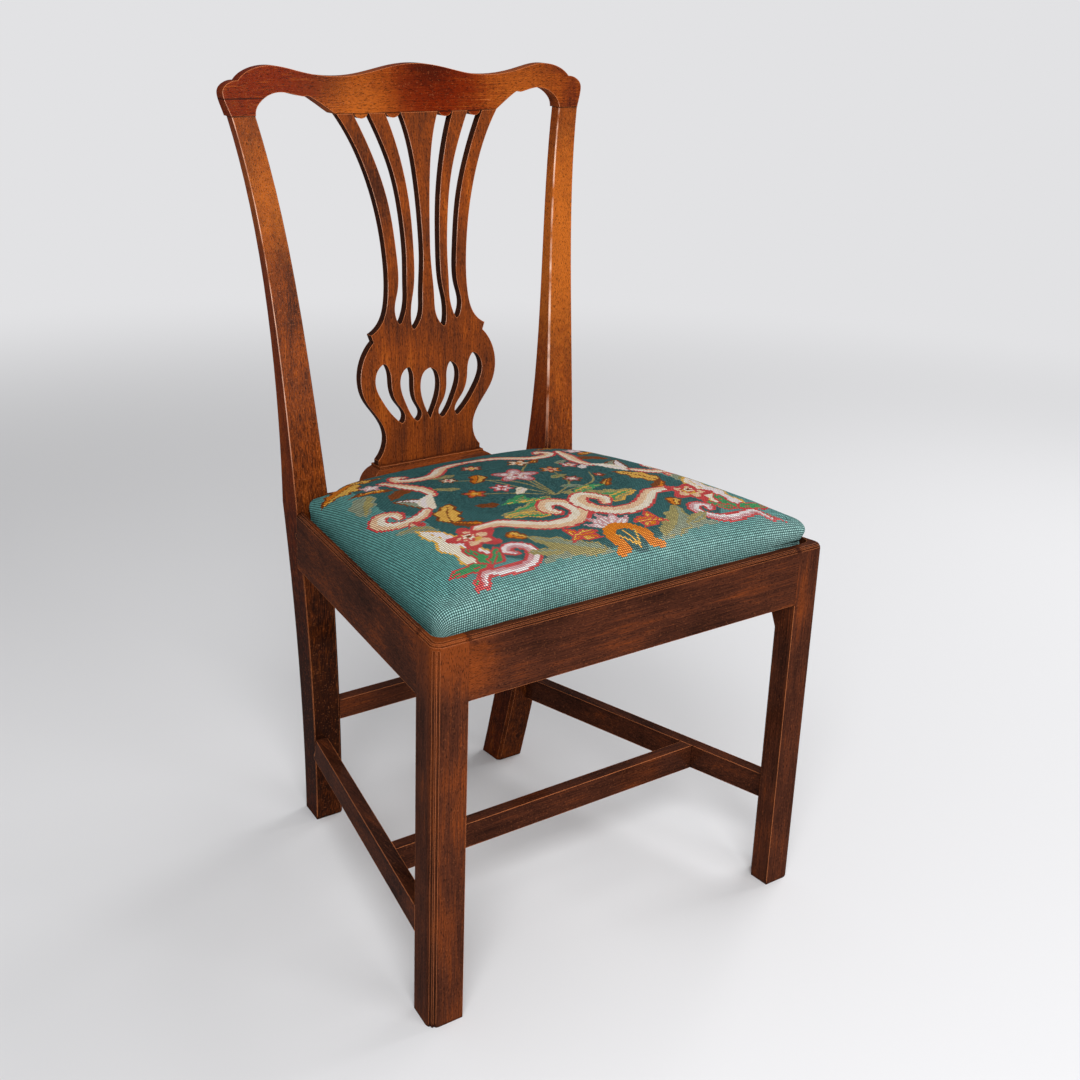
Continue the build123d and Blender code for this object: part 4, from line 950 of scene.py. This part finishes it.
def swelling(shape, look, step, across, along):
    """How far the stuffing pushes each point of a coarse canvas outward, by a short cloth run."""
    x, y = np.meshgrid(across * step, shape.front + along * step, indexing="ij")
    lift = np.zeros(x.shape)
    place, normal, used, faces = draped(shape, x, y)
    mesh = bpy.data.meshes.new("cover_trial")
    mesh.from_pydata(place.tolist(), [], faces)
    trial = bpy.data.objects.new("cover_trial", mesh)
    scene = bpy.context.scene
    scene.collection.objects.link(trial)
    held = trial.vertex_groups.new(name="held")
    low = place[:, UPRIGHT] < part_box("front_seat_rail")[1].z
    held.add(np.flatnonzero(low).tolist(), 1.0, "REPLACE")
    cloth = trial.modifiers.new("stuffing", "CLOTH").settings
    cloth.vertex_group_mass = "held"
    cloth.use_pressure = True
    cloth.uniform_pressure_force = CLOTH_PRESSURE
    cloth.effector_weights.gravity = 0.0
    cloth.tension_stiffness = CLOTH_TENSION
    cloth.quality = 6
    for number in range(1, CLOTH_FRAMES + 1):
        scene.frame_set(number)
    graph = bpy.context.evaluated_depsgraph_get()
    swollen = trial.evaluated_get(graph).to_mesh()
    after = np.empty(place.size)
    swollen.vertices.foreach_get("co", after)
    moved = ((after.reshape(-1, 3) - place) * normal).sum(1)
    scene.frame_set(1)
    bpy.data.objects.remove(trial)
    bpy.data.meshes.remove(mesh)
    lift.reshape(-1)[used] = np.clip(moved, 0, None)
    return lift * look.swell / max(lift.max(), 1e-9)


def spread(lift, across, along, x, y):
    """Reads a coarse grid of heights at finer places, by straight interpolation."""
    i = np.clip(np.searchsorted(across, x, "right") - 1, 0, len(across) - 2)
    j = np.clip(np.searchsorted(along, y, "right") - 1, 0, len(along) - 2)
    u = (x - across[i]) / (across[i + 1] - across[i])
    v = (y - along[j]) / (along[j + 1] - along[j])
    near = lift[i, j] * (1 - u) + lift[i + 1, j] * u
    far = lift[i, j + 1] * (1 - u) + lift[i + 1, j + 1] * u
    return near * (1 - v) + far * v


def new_piece(name, points, faces, material):
    """A smooth mesh piece, linked to the scene."""
    mesh = bpy.data.meshes.new(name)
    mesh.from_pydata(np.asarray(points).tolist(), [], faces)
    mesh.materials.append(material)
    mesh.polygons.foreach_set("use_smooth", np.ones(len(mesh.polygons), bool))
    mesh.update()
    piece = bpy.data.objects.new(name, mesh)
    bpy.context.scene.collection.objects.link(piece)
    return piece


# Sizes of the wool's unevenness and of its painted shade in hollows in metres, and where on the front roll
# a painted highlight starts and where it is full.
WOOL_FUZZ = 0.0009
WOOL_FLECK = 0.0032
WOOL_FADE = 0.05
WOOL_SHADE_REACH = 0.006
SHEEN_START, SHEEN_END = 0.175, 0.245
BRIGHTEST = (0.92, 0.92, 0.92)


def wool_finish():
    """Wool stitches: a tuft for each stitch of the canvas, coloured by the wool laid there, with painted
    light on each tuft and painted shade between the tufts.
    """
    look = bpy.context.scene.chair_needlework
    finish = Finish("needlework_wool")
    wool = finish.node("ShaderNodeAttribute", {"attribute_name": "wool"}, out="Color")
    coarse = wool.beside("Alpha")
    fine = 1 - coarse
    stitch = finish.node("ShaderNodeAttribute", {"attribute_name": "stitch"}, out="Vector")
    finer = 1 + fine
    cells = finish.split(stitch)

    def hump(axis, steepness):
        inside = (cells[axis] * finer).fraction()
        return (4 * inside * (1 - inside)) ** steepness

    tuft = hump(0, 1.2) * hump(1, 1.35)
    place = finish.place()
    fuzz = finish.clouds(place, WOOL_FUZZ)
    fade = finish.clouds(place, WOOL_FADE)
    flecks = finish.clouds(place, WOOL_FLECK, detail=2.0)
    scaled = finish.node("ShaderNodeVectorMath", {"operation": "SCALE"}, {0: stitch, "Scale": finer})
    cell = finish.vector("FLOOR", scaled)
    each = finish.node("ShaderNodeTexWhiteNoise", {"noise_dimensions": "2D"}, {"Vector": cell})
    uneven = (0.34 + 0.4 * fine) * (each - 0.5) + (0.5 + 0.9 * fine) * (flecks - 0.5)
    # Painted light and shade: each tuft is lit up past its wool's colour and the gaps between stitches are
    # darkened.
    light = 0.08 + 0.16 * fine + (2.1 - 0.5 * fine) * tuft
    light = light * (0.79 + 0.3 * fuzz + 0.2 * fade + uneven)
    # Painted shade: wool in hollows and beside the rail's lip is darkened.
    light = light * (0.3 + 0.7 * finish.between(finish.openness(WOOL_SHADE_REACH), 0.2, 0.75))
    # Painted highlight: the tufts of the front roll are lightened towards white wool.
    front = finish.vector("DOT_PRODUCT", place, FORWARD, out="Value")
    rubbed = finish.between(front + 0.06 * (fade - 0.5), SHEEN_START, SHEEN_END)
    wool = finish.mix(0.15 * rubbed * tuft, wool, look.white)
    level = finish.node("ShaderNodeCombineXYZ", sockets={0: light, 1: light, 2: light})
    colour = finish.vector("MULTIPLY", wool, level)
    return finish.surface(
        Base_Color=finish.vector("MINIMUM", colour, BRIGHTEST),
        Roughness=0.9 - 0.1 * fuzz,
        Normal=finish.bump(tuft + 0.25 * fuzz, strength=0.75, distance=0.0009),
        Specular_IOR_Level=0.05,
    )


class SIDECHAIR_OT_stitch_cover(Operator):
    """Stitch the needlework cover over the stuffed pad"""

    bl_idname = "side_chair.stitch_cover"
    bl_label = "Stitch Needlework Cover"

    COARSE = 4

    def execute(self, context):
        look = context.scene.chair_needlework
        shape = SeatShape(look)
        fine = look.stitch / 2
        past = shape.runs[-1] - shape.roll_in + shape.top - shape.bottom + shape.hem
        block = 2 * self.COARSE
        half = block * math.ceil((shape.FRONT_HALF + past) / (block * fine))
        ahead = block * math.ceil(past / (block * fine))
        deep = block * math.ceil((shape.back - shape.front + past) / (block * fine))
        across = np.arange(-half, half + 1)
        along = np.arange(-ahead, deep + 1)
        lift = swelling(shape, look, fine, across[::block], along[::block])
        i, j = np.meshgrid(across, along, indexing="ij")
        place, normal, left = shape.drape(i * fine, shape.front + j * fine)
        place = place + normal * spread(lift, across[::block], along[::block], i, j)[..., None]

        def canvas(size):
            x = (i[:-1:size, :-1:size] + size / 2) * fine
            y = (j[:-1:size, :-1:size] + size / 2) * fine + shape.front - CAD_LOW.y
            return Canvas(x / MM, y / MM)

        large, small = canvas(2), canvas(1)
        split = work_needlework(large)
        work_posy(small)
        in_posy = split.repeat(2, 0).repeat(2, 1)
        bare = small.wool == WOOLS.index("border")
        small.wool[bare] = WOOLS.index("ground")
        wool = np.where(in_posy, small.wool, large.wool.repeat(2, 0).repeat(2, 1))
        self.build(look, place, normal, left, wool, split, i, j)
        return {"FINISHED"}

    def build(self, look, place, normal, left, wool, split, i, j):
        """Worked canvas of real thickness, with its large stitches split in four under the posy."""
        over = left[::2, ::2]
        kept = np.minimum.reduce([over[:-1, :-1], over[1:, :-1], over[:-1, 1:], over[1:, 1:]]) < 0
        split = kept & split
        outer = np.full(left.shape, -1)
        inner = np.full(left.shape, -1)
        points, stitches = [], []
        faces, wools, large = [], [], []

        def point(layer, a, b):
            if layer[a, b] < 0:
                layer[a, b] = len(points)
                depth = look.cloth if layer is inner else 0.0
                points.append(place[a, b] - normal[a, b] * depth)
                stitches.append((i[a, b] / 2, j[a, b] / 2, 0.0))
            return int(layer[a, b])

        def add(face, shade=0, size=1.0):
            faces.append(face)
            wools.append(shade)
            large.append(size)

        def marked(mask, a, b):
            return 0 <= a < mask.shape[0] and 0 <= b < mask.shape[1] and mask[a, b]

        ring = ((0, 0), (1, 0), (1, 1), (0, 1))
        beside = ((0, -1), (1, 0), (0, 1), (-1, 0))
        for a, b in np.argwhere(kept):
            corners = [(2 * a + 2 * da, 2 * b + 2 * db) for da, db in ring]
            if split[a, b]:
                for da, db in ring:
                    cell = (2 * a + da, 2 * b + db)
                    add([point(outer, cell[0] + ea, cell[1] + eb) for ea, eb in ring], wool[cell], 0.0)
            else:
                face = []
                for n, (da, db) in enumerate(beside):
                    face.append(point(outer, *corners[n]))
                    if marked(split, a + da, b + db):
                        middle = [(p + q) // 2 for p, q in zip(corners[n], corners[(n + 1) % 4])]
                        face.append(point(outer, *middle))
                add(face, wool[corners[0]])
            add([point(inner, *corner) for corner in reversed(corners)])
            for n, (da, db) in enumerate(beside):
                if not marked(kept, a + da, b + db):
                    start, end = corners[n], corners[(n + 1) % 4]
                    ends = ((outer, end), (outer, start), (inner, start), (inner, end))
                    add([point(layer, *spot) for layer, spot in ends])
        cover = new_piece("needlework_seat", points, faces, wool_finish())
        palette = np.array([getattr(look, name) for name in WOOLS])
        colours = np.column_stack([palette[wools], large]).astype(np.float32)
        cover.data.attributes.new("wool", "FLOAT_COLOR", "FACE").data.foreach_set("color", colours.ravel())
        cells = cover.data.attributes.new("stitch", "FLOAT_VECTOR", "POINT")
        cells.data.foreach_set("vector", np.array(stitches, np.float32).ravel())
        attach(cover, SEAT_BODY)
        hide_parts("needlework_cover")


class SIDECHAIR_OT_stuff_pad(Operator):
    """Lay the horsehair pad under the cover"""

    bl_idname = "side_chair.stuff_pad"
    bl_label = "Stuff Pad"

    STEP = 0.009
    CLEARANCE = 0.0004
    HAIR_SCALE = (400.0, 400.0, 900.0)

    def execute(self, context):
        look = context.scene.chair_needlework
        shape = SeatShape(look)
        shape.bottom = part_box("stuffing")[0].z
        shape.hem = 0.0
        reach = shape.runs[-1] + shape.top - shape.bottom
        across = np.arange(-shape.FRONT_HALF - reach, shape.FRONT_HALF + reach, self.STEP)
        along = np.arange(shape.front - reach, shape.back + reach, self.STEP)
        place, normal, _, top = draped(shape, *np.meshgrid(across, along, indexing="ij"))
        upper = place - normal * (look.cloth + self.CLEARANCE)
        count = len(upper)
        lower = np.column_stack([upper[:, :2], np.full(count, shape.bottom)])
        under = [[count + n for n in reversed(face)] for face in top]
        edges = dict.fromkeys(edge for face in top for edge in zip(face, face[1:] + face[:1]))
        open_edges = [edge for edge in edges if edge[::-1] not in edges]
        rim = [[end, start, count + start, count + end] for start, end in open_edges]
        finish = Finish("horsehair_mat")
        hair = finish.noise(finish.place(), self.HAIR_SCALE, detail=5.0, distortion=2.0)
        horsehair = finish.surface(
            Base_Color=finish.mix(hair, linear(52, 38, 28), linear(120, 98, 74)),
            Roughness=0.7 + 0.2 * hair,
            Normal=finish.bump(hair, strength=0.8, distance=0.001),
        )
        pad = new_piece("horsehair_pad", np.concatenate([upper, lower]), top + under + rim, horsehair)
        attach(pad, SEAT_BODY)
        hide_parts("stuffing")
        return {"FINISHED"}


SLUB_SIZE = 1 / 160


def weave_finish(name, thread, dark, light, stripe=None):
    """Plain weave of the given thread width, with an optional dark stripe down each edge of a strap."""
    finish = Finish(name)
    place = finish.place()
    parts = finish.split(place)

    def ridge(axis):
        return 0.5 + 0.5 * (parts[axis] * (2 * math.pi / thread)).sine()

    warp, weft = ridge(ACROSS), ridge(ALONG)
    over = warp * weft + (1 - warp) * (1 - weft)
    slub = finish.clouds(place, SLUB_SIZE, detail=4.0)
    colour = finish.mix(0.55 * over + 0.45 * slub, dark, light)
    if stripe:
        band = finish.node("ShaderNodeAttribute", {"attribute_name": "stripe"}, out="Fac")
        colour = finish.mix(0.8 * band, colour, stripe)
    normal = finish.bump(over + 0.4 * slub, strength=0.6, distance=0.0006)
    return finish.surface(Base_Color=colour, Roughness=0.85 + 0.1 * slub, Normal=normal)


def cloth_slab(rows, thickness):
    """Points and faces of a thin closed sheet whose middle layer is a grid of rows."""
    down = np.array([0.0, 0.0, thickness / 2])
    points = np.concatenate([(rows + down).reshape(-1, 3), (rows - down).reshape(-1, 3)])
    high, wide = rows.shape[:2]
    count = high * wide
    index = np.arange(count).reshape(high, wide)
    top = grid_faces(index)[:, ::-1]
    bottom = grid_faces(index) + count
    rim = np.concatenate([index[0, :-1], index[:-1, -1], index[-1, :0:-1], index[:0:-1, 0]])
    after = np.roll(rim, -1)
    sides = np.stack([after, rim, rim + count, after + count], -1)
    return points, np.concatenate([top, bottom, sides]).tolist()


class SIDECHAIR_OT_weave_webbing(Operator):
    """Interlace the six straps of webbing over the loose frame"""

    bl_idname = "side_chair.weave_webbing"
    bl_label = "Weave Webbing"

    WIDTH = 0.05
    THICKNESS = 0.0011
    LIFT = 0.0006
    THREAD = 0.0016
    ROWS = 160
    COLUMNS = 10
    RISE_START = 0.82
    RISE_RUN = 0.3
    STRIPE_PLACE = 0.36
    STRIPE_HALF = 0.08

    def execute(self, context):
        low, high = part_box("webbing_lengthwise")
        cross_low, cross_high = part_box("webbing_crosswise")
        middle = high.z
        columns = np.linspace(low.x + self.WIDTH / 2, high.x - self.WIDTH / 2, 3)
        bands = np.linspace(cross_low.y + self.WIDTH / 2, cross_high.y - self.WIDTH / 2, 3)
        dark, light, stripe = linear(96, 74, 46), linear(178, 148, 104), linear(60, 44, 34)
        jute = weave_finish("webbing_jute", self.THREAD, dark, light, stripe)
        for n, x in enumerate(columns):
            rows = self.course(x, low.y, high.y, bands, n, middle)
            rows = rows[::-1, ::-1, [1, 0, 2]]
            self.strap("webbing_lengthwise", n, rows, high.y - low.y, ("front", "back"), jute)
        for n, y in enumerate(bands):
            reach = cross_high.x - SeatShape.SPLAY * (y + self.WIDTH / 2 - cross_low.y)
            rows = self.course(y, -reach, reach, columns, n + 1, middle)
            self.strap("webbing_crosswise", n, rows, 2 * reach, ("left", "right"), jute)
        return {"FINISHED"}

    def course(self, spot, start, end, crossings, first, middle):
        """Rows of points of a strap that runs along the first axis, over every second crossing."""
        run = np.linspace(start, end, self.ROWS)
        level = np.full(self.ROWS, -1.0)
        for k, crossing in enumerate(crossings):
            if (first + k) % 2:
                away = np.abs(run - crossing) / self.WIDTH
                rise = np.clip((self.RISE_START - away) / self.RISE_RUN, 0, 1)
                level = np.maximum(level, 2 * rise**2 * (3 - 2 * rise) - 1)
        along, across = np.meshgrid(run, spot + self.wide(), indexing="ij")
        height = middle + self.LIFT * np.repeat(level[:, None], self.COLUMNS, 1)
        return np.stack([along, across, height], -1)

    def wide(self):
        return np.linspace(-self.WIDTH / 2, self.WIDTH / 2, self.COLUMNS)

    def strap(self, node, n, rows, long, ends, material):
        points, faces = cloth_slab(rows, self.THICKNESS)
        piece = new_piece(f"{node}_{n + 1}", points, faces, material)
        aside = np.abs(self.wide()) / self.WIDTH
        striped = np.abs(aside - self.STRIPE_PLACE) < self.STRIPE_HALF
        band = np.tile(striped.astype(np.float32), 2 * self.ROWS)
        piece.data.attributes.new("stripe", "FLOAT", "POINT").data.foreach_set("value", band)
        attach(piece, SEAT_BODY)
        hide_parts(node)


class SIDECHAIR_OT_lay_hessian(Operator):
    """Stretch the hessian over the webbing"""

    bl_idname = "side_chair.lay_hessian"
    bl_label = "Lay Hessian"

    THICKNESS = 0.0006
    THREAD = 0.0022
    STEPS = 60
    REAR_CUT = 0.02

    def execute(self, context):
        low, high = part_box("hessian")
        back = high.y - self.REAR_CUT
        along = np.linspace(low.y, back, self.STEPS)
        half = (high.x - SeatShape.SPLAY * (along - low.y)) - SeatShape.FRONT_CORNER * SeatShape.SPLAY
        x = half[:, None] * np.linspace(-1, 1, self.STEPS)
        y = np.repeat(along[:, None], self.STEPS, 1)
        rows = np.stack([x, y, np.full(x.shape, (low.z + high.z) / 2)], -1)
        points, faces = cloth_slab(rows, self.THICKNESS)
        material = weave_finish("hessian_cloth", self.THREAD, linear(104, 82, 54), linear(176, 148, 108))
        piece = new_piece("hessian_cloth", points, faces, material)
        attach(piece, SEAT_BODY)
        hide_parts("hessian")
        return {"FINISHED"}


class SIDECHAIR_OT_set_stage(Operator):
    """Set the floor, the soft light and the camera"""

    bl_idname = "side_chair.set_stage"
    bl_label = "Set Stage"

    FLOOR_HALF = 400.0
    SHADOW_REACH = 1.4
    SHADOW_FADE = 2.5
    LIGHT_SIZE = 1.8
    LIGHT_AIM = (0, 0, 0.5)
    KEY_PLACE = (-1.5, -2.2, 2.5)
    FILL_PLACE = (0.6, -3.0, 1.2)
    RIM_PLACE = (2.4, 0.2, 2.1)
    SENSOR = 36.0

    def execute(self, context):
        stage = context.scene.chair_stage
        half = self.FLOOR_HALF
        corners = [(-half, -half, 0), (half, -half, 0), (half, half, 0), (-half, half, 0)]
        new_piece("floor", corners, [[0, 1, 2, 3]], self.floor_finish(stage))
        self.light("key_light", self.KEY_PLACE, stage.key)
        self.light("fill_light", self.FILL_PLACE, stage.fill)
        self.light("rim_light", self.RIM_PLACE, stage.rim)
        self.surroundings(context, stage)
        self.camera(context, stage)
        context.scene.view_settings.view_transform = "Standard"
        return {"FINISHED"}

    def light(self, name, place, strength):
        lamp = bpy.data.lights.new(name, "AREA")
        lamp.energy = strength
        lamp.size = self.LIGHT_SIZE
        holder = bpy.data.objects.new(name, lamp)
        holder.location = place
        aim = Vector(self.LIGHT_AIM) - Vector(place)
        holder.rotation_mode = "QUATERNION"
        holder.rotation_quaternion = aim.to_track_quat("-Z", "Y")
        bpy.context.scene.collection.objects.link(holder)

    def floor_finish(self, stage):
        """Matt near the chair, where it holds the shadow, and evenly pale further out."""
        finish = Finish("floor_pale")
        far = finish.vector("LENGTH", finish.place(), out="Value")
        matt = finish.node("ShaderNodeBsdfDiffuse", sockets={"Color": (*stage.floor, 1.0)})
        pale = finish.node("ShaderNodeEmission", sockets={"Color": (*stage.floor, 1.0), "Strength": 1.0})
        outside = finish.between(far, self.SHADOW_REACH, self.SHADOW_FADE * self.SHADOW_REACH)
        shader = finish.node(
            "ShaderNodeMixShader", sockets={0: outside * finish.seen_direct(), 1: matt, 2: pale}
        )
        finish.node("ShaderNodeOutputMaterial", sockets={"Surface": shader})
        return finish.owner

    def surroundings(self, context, stage):
        """Even light all round, seen as the same pale tone as the floor."""
        finish = Finish("studio", "worlds")
        light = finish.node("ShaderNodeBackground", sockets={"Strength": stage.ambient})
        pale = finish.node("ShaderNodeBackground", sockets={"Color": (*stage.floor, 1.0), "Strength": 1.0})
        shader = finish.node("ShaderNodeMixShader", sockets={0: finish.seen_direct(), 1: light, 2: pale})
        finish.node("ShaderNodeOutputWorld", sockets={"Surface": shader})
        context.scene.world = finish.owner

    def camera(self, context, stage):
        lens = bpy.data.cameras.new("camera")
        lens.lens = stage.lens
        lens.sensor_width = self.SENSOR
        holder = bpy.data.objects.new("camera", lens)
        level = math.cos(stage.elevation)
        back = Vector(
            (math.sin(stage.azimuth) * level, -math.cos(stage.azimuth) * level, math.sin(stage.elevation))
        )
        holder.location = Vector(stage.target) + back * stage.distance
        holder.rotation_mode = "QUATERNION"
        holder.rotation_quaternion = (-back).to_track_quat("-Z", "Y") @ Quaternion((0, 0, 1), stage.roll)
        context.scene.collection.objects.link(holder)
        context.scene.camera = holder


OPERATORS = (
    SIDECHAIR_OT_polish_back,
    SIDECHAIR_OT_polish_seat_rails,
    SIDECHAIR_OT_polish_legs,
    SIDECHAIR_OT_polish_stretchers,
    SIDECHAIR_OT_finish_hidden_timber,
    SIDECHAIR_OT_blacken_tacks,
    SIDECHAIR_OT_weave_webbing,
    SIDECHAIR_OT_lay_hessian,
    SIDECHAIR_OT_stuff_pad,
    SIDECHAIR_OT_stitch_cover,
    SIDECHAIR_OT_set_stage,
)


class SIDECHAIR_PT_finishes(Panel):
    """Lists the steps that finish the chair"""

    bl_idname = "SIDECHAIR_PT_finishes"
    bl_label = "Side Chair"
    bl_space_type = "VIEW_3D"
    bl_region_type = "UI"
    bl_category = "Side Chair"

    def draw(self, context):
        for operator in OPERATORS:
            self.layout.operator(operator.bl_idname)


SETTINGS = {
    "chair_timber": TimberSettings,
    "chair_needlework": NeedleworkSettings,
    "chair_stage": StageSettings,
}
CLASSES = (*SETTINGS.values(), *OPERATORS, SIDECHAIR_PT_finishes)


def register():
    for cls in CLASSES:
        bpy.utils.register_class(cls)
    for name, group in SETTINGS.items():
        setattr(bpy.types.Scene, name, PointerProperty(type=group))


def unregister():
    for name in SETTINGS:
        delattr(bpy.types.Scene, name)
    for cls in reversed(CLASSES):
        bpy.utils.unregister_class(cls)


def main():
    register()
    for operator in OPERATORS:
        group, step = operator.bl_idname.split(".")
        getattr(getattr(bpy.ops, group), step)()


if __name__ == "__main__":
    main()
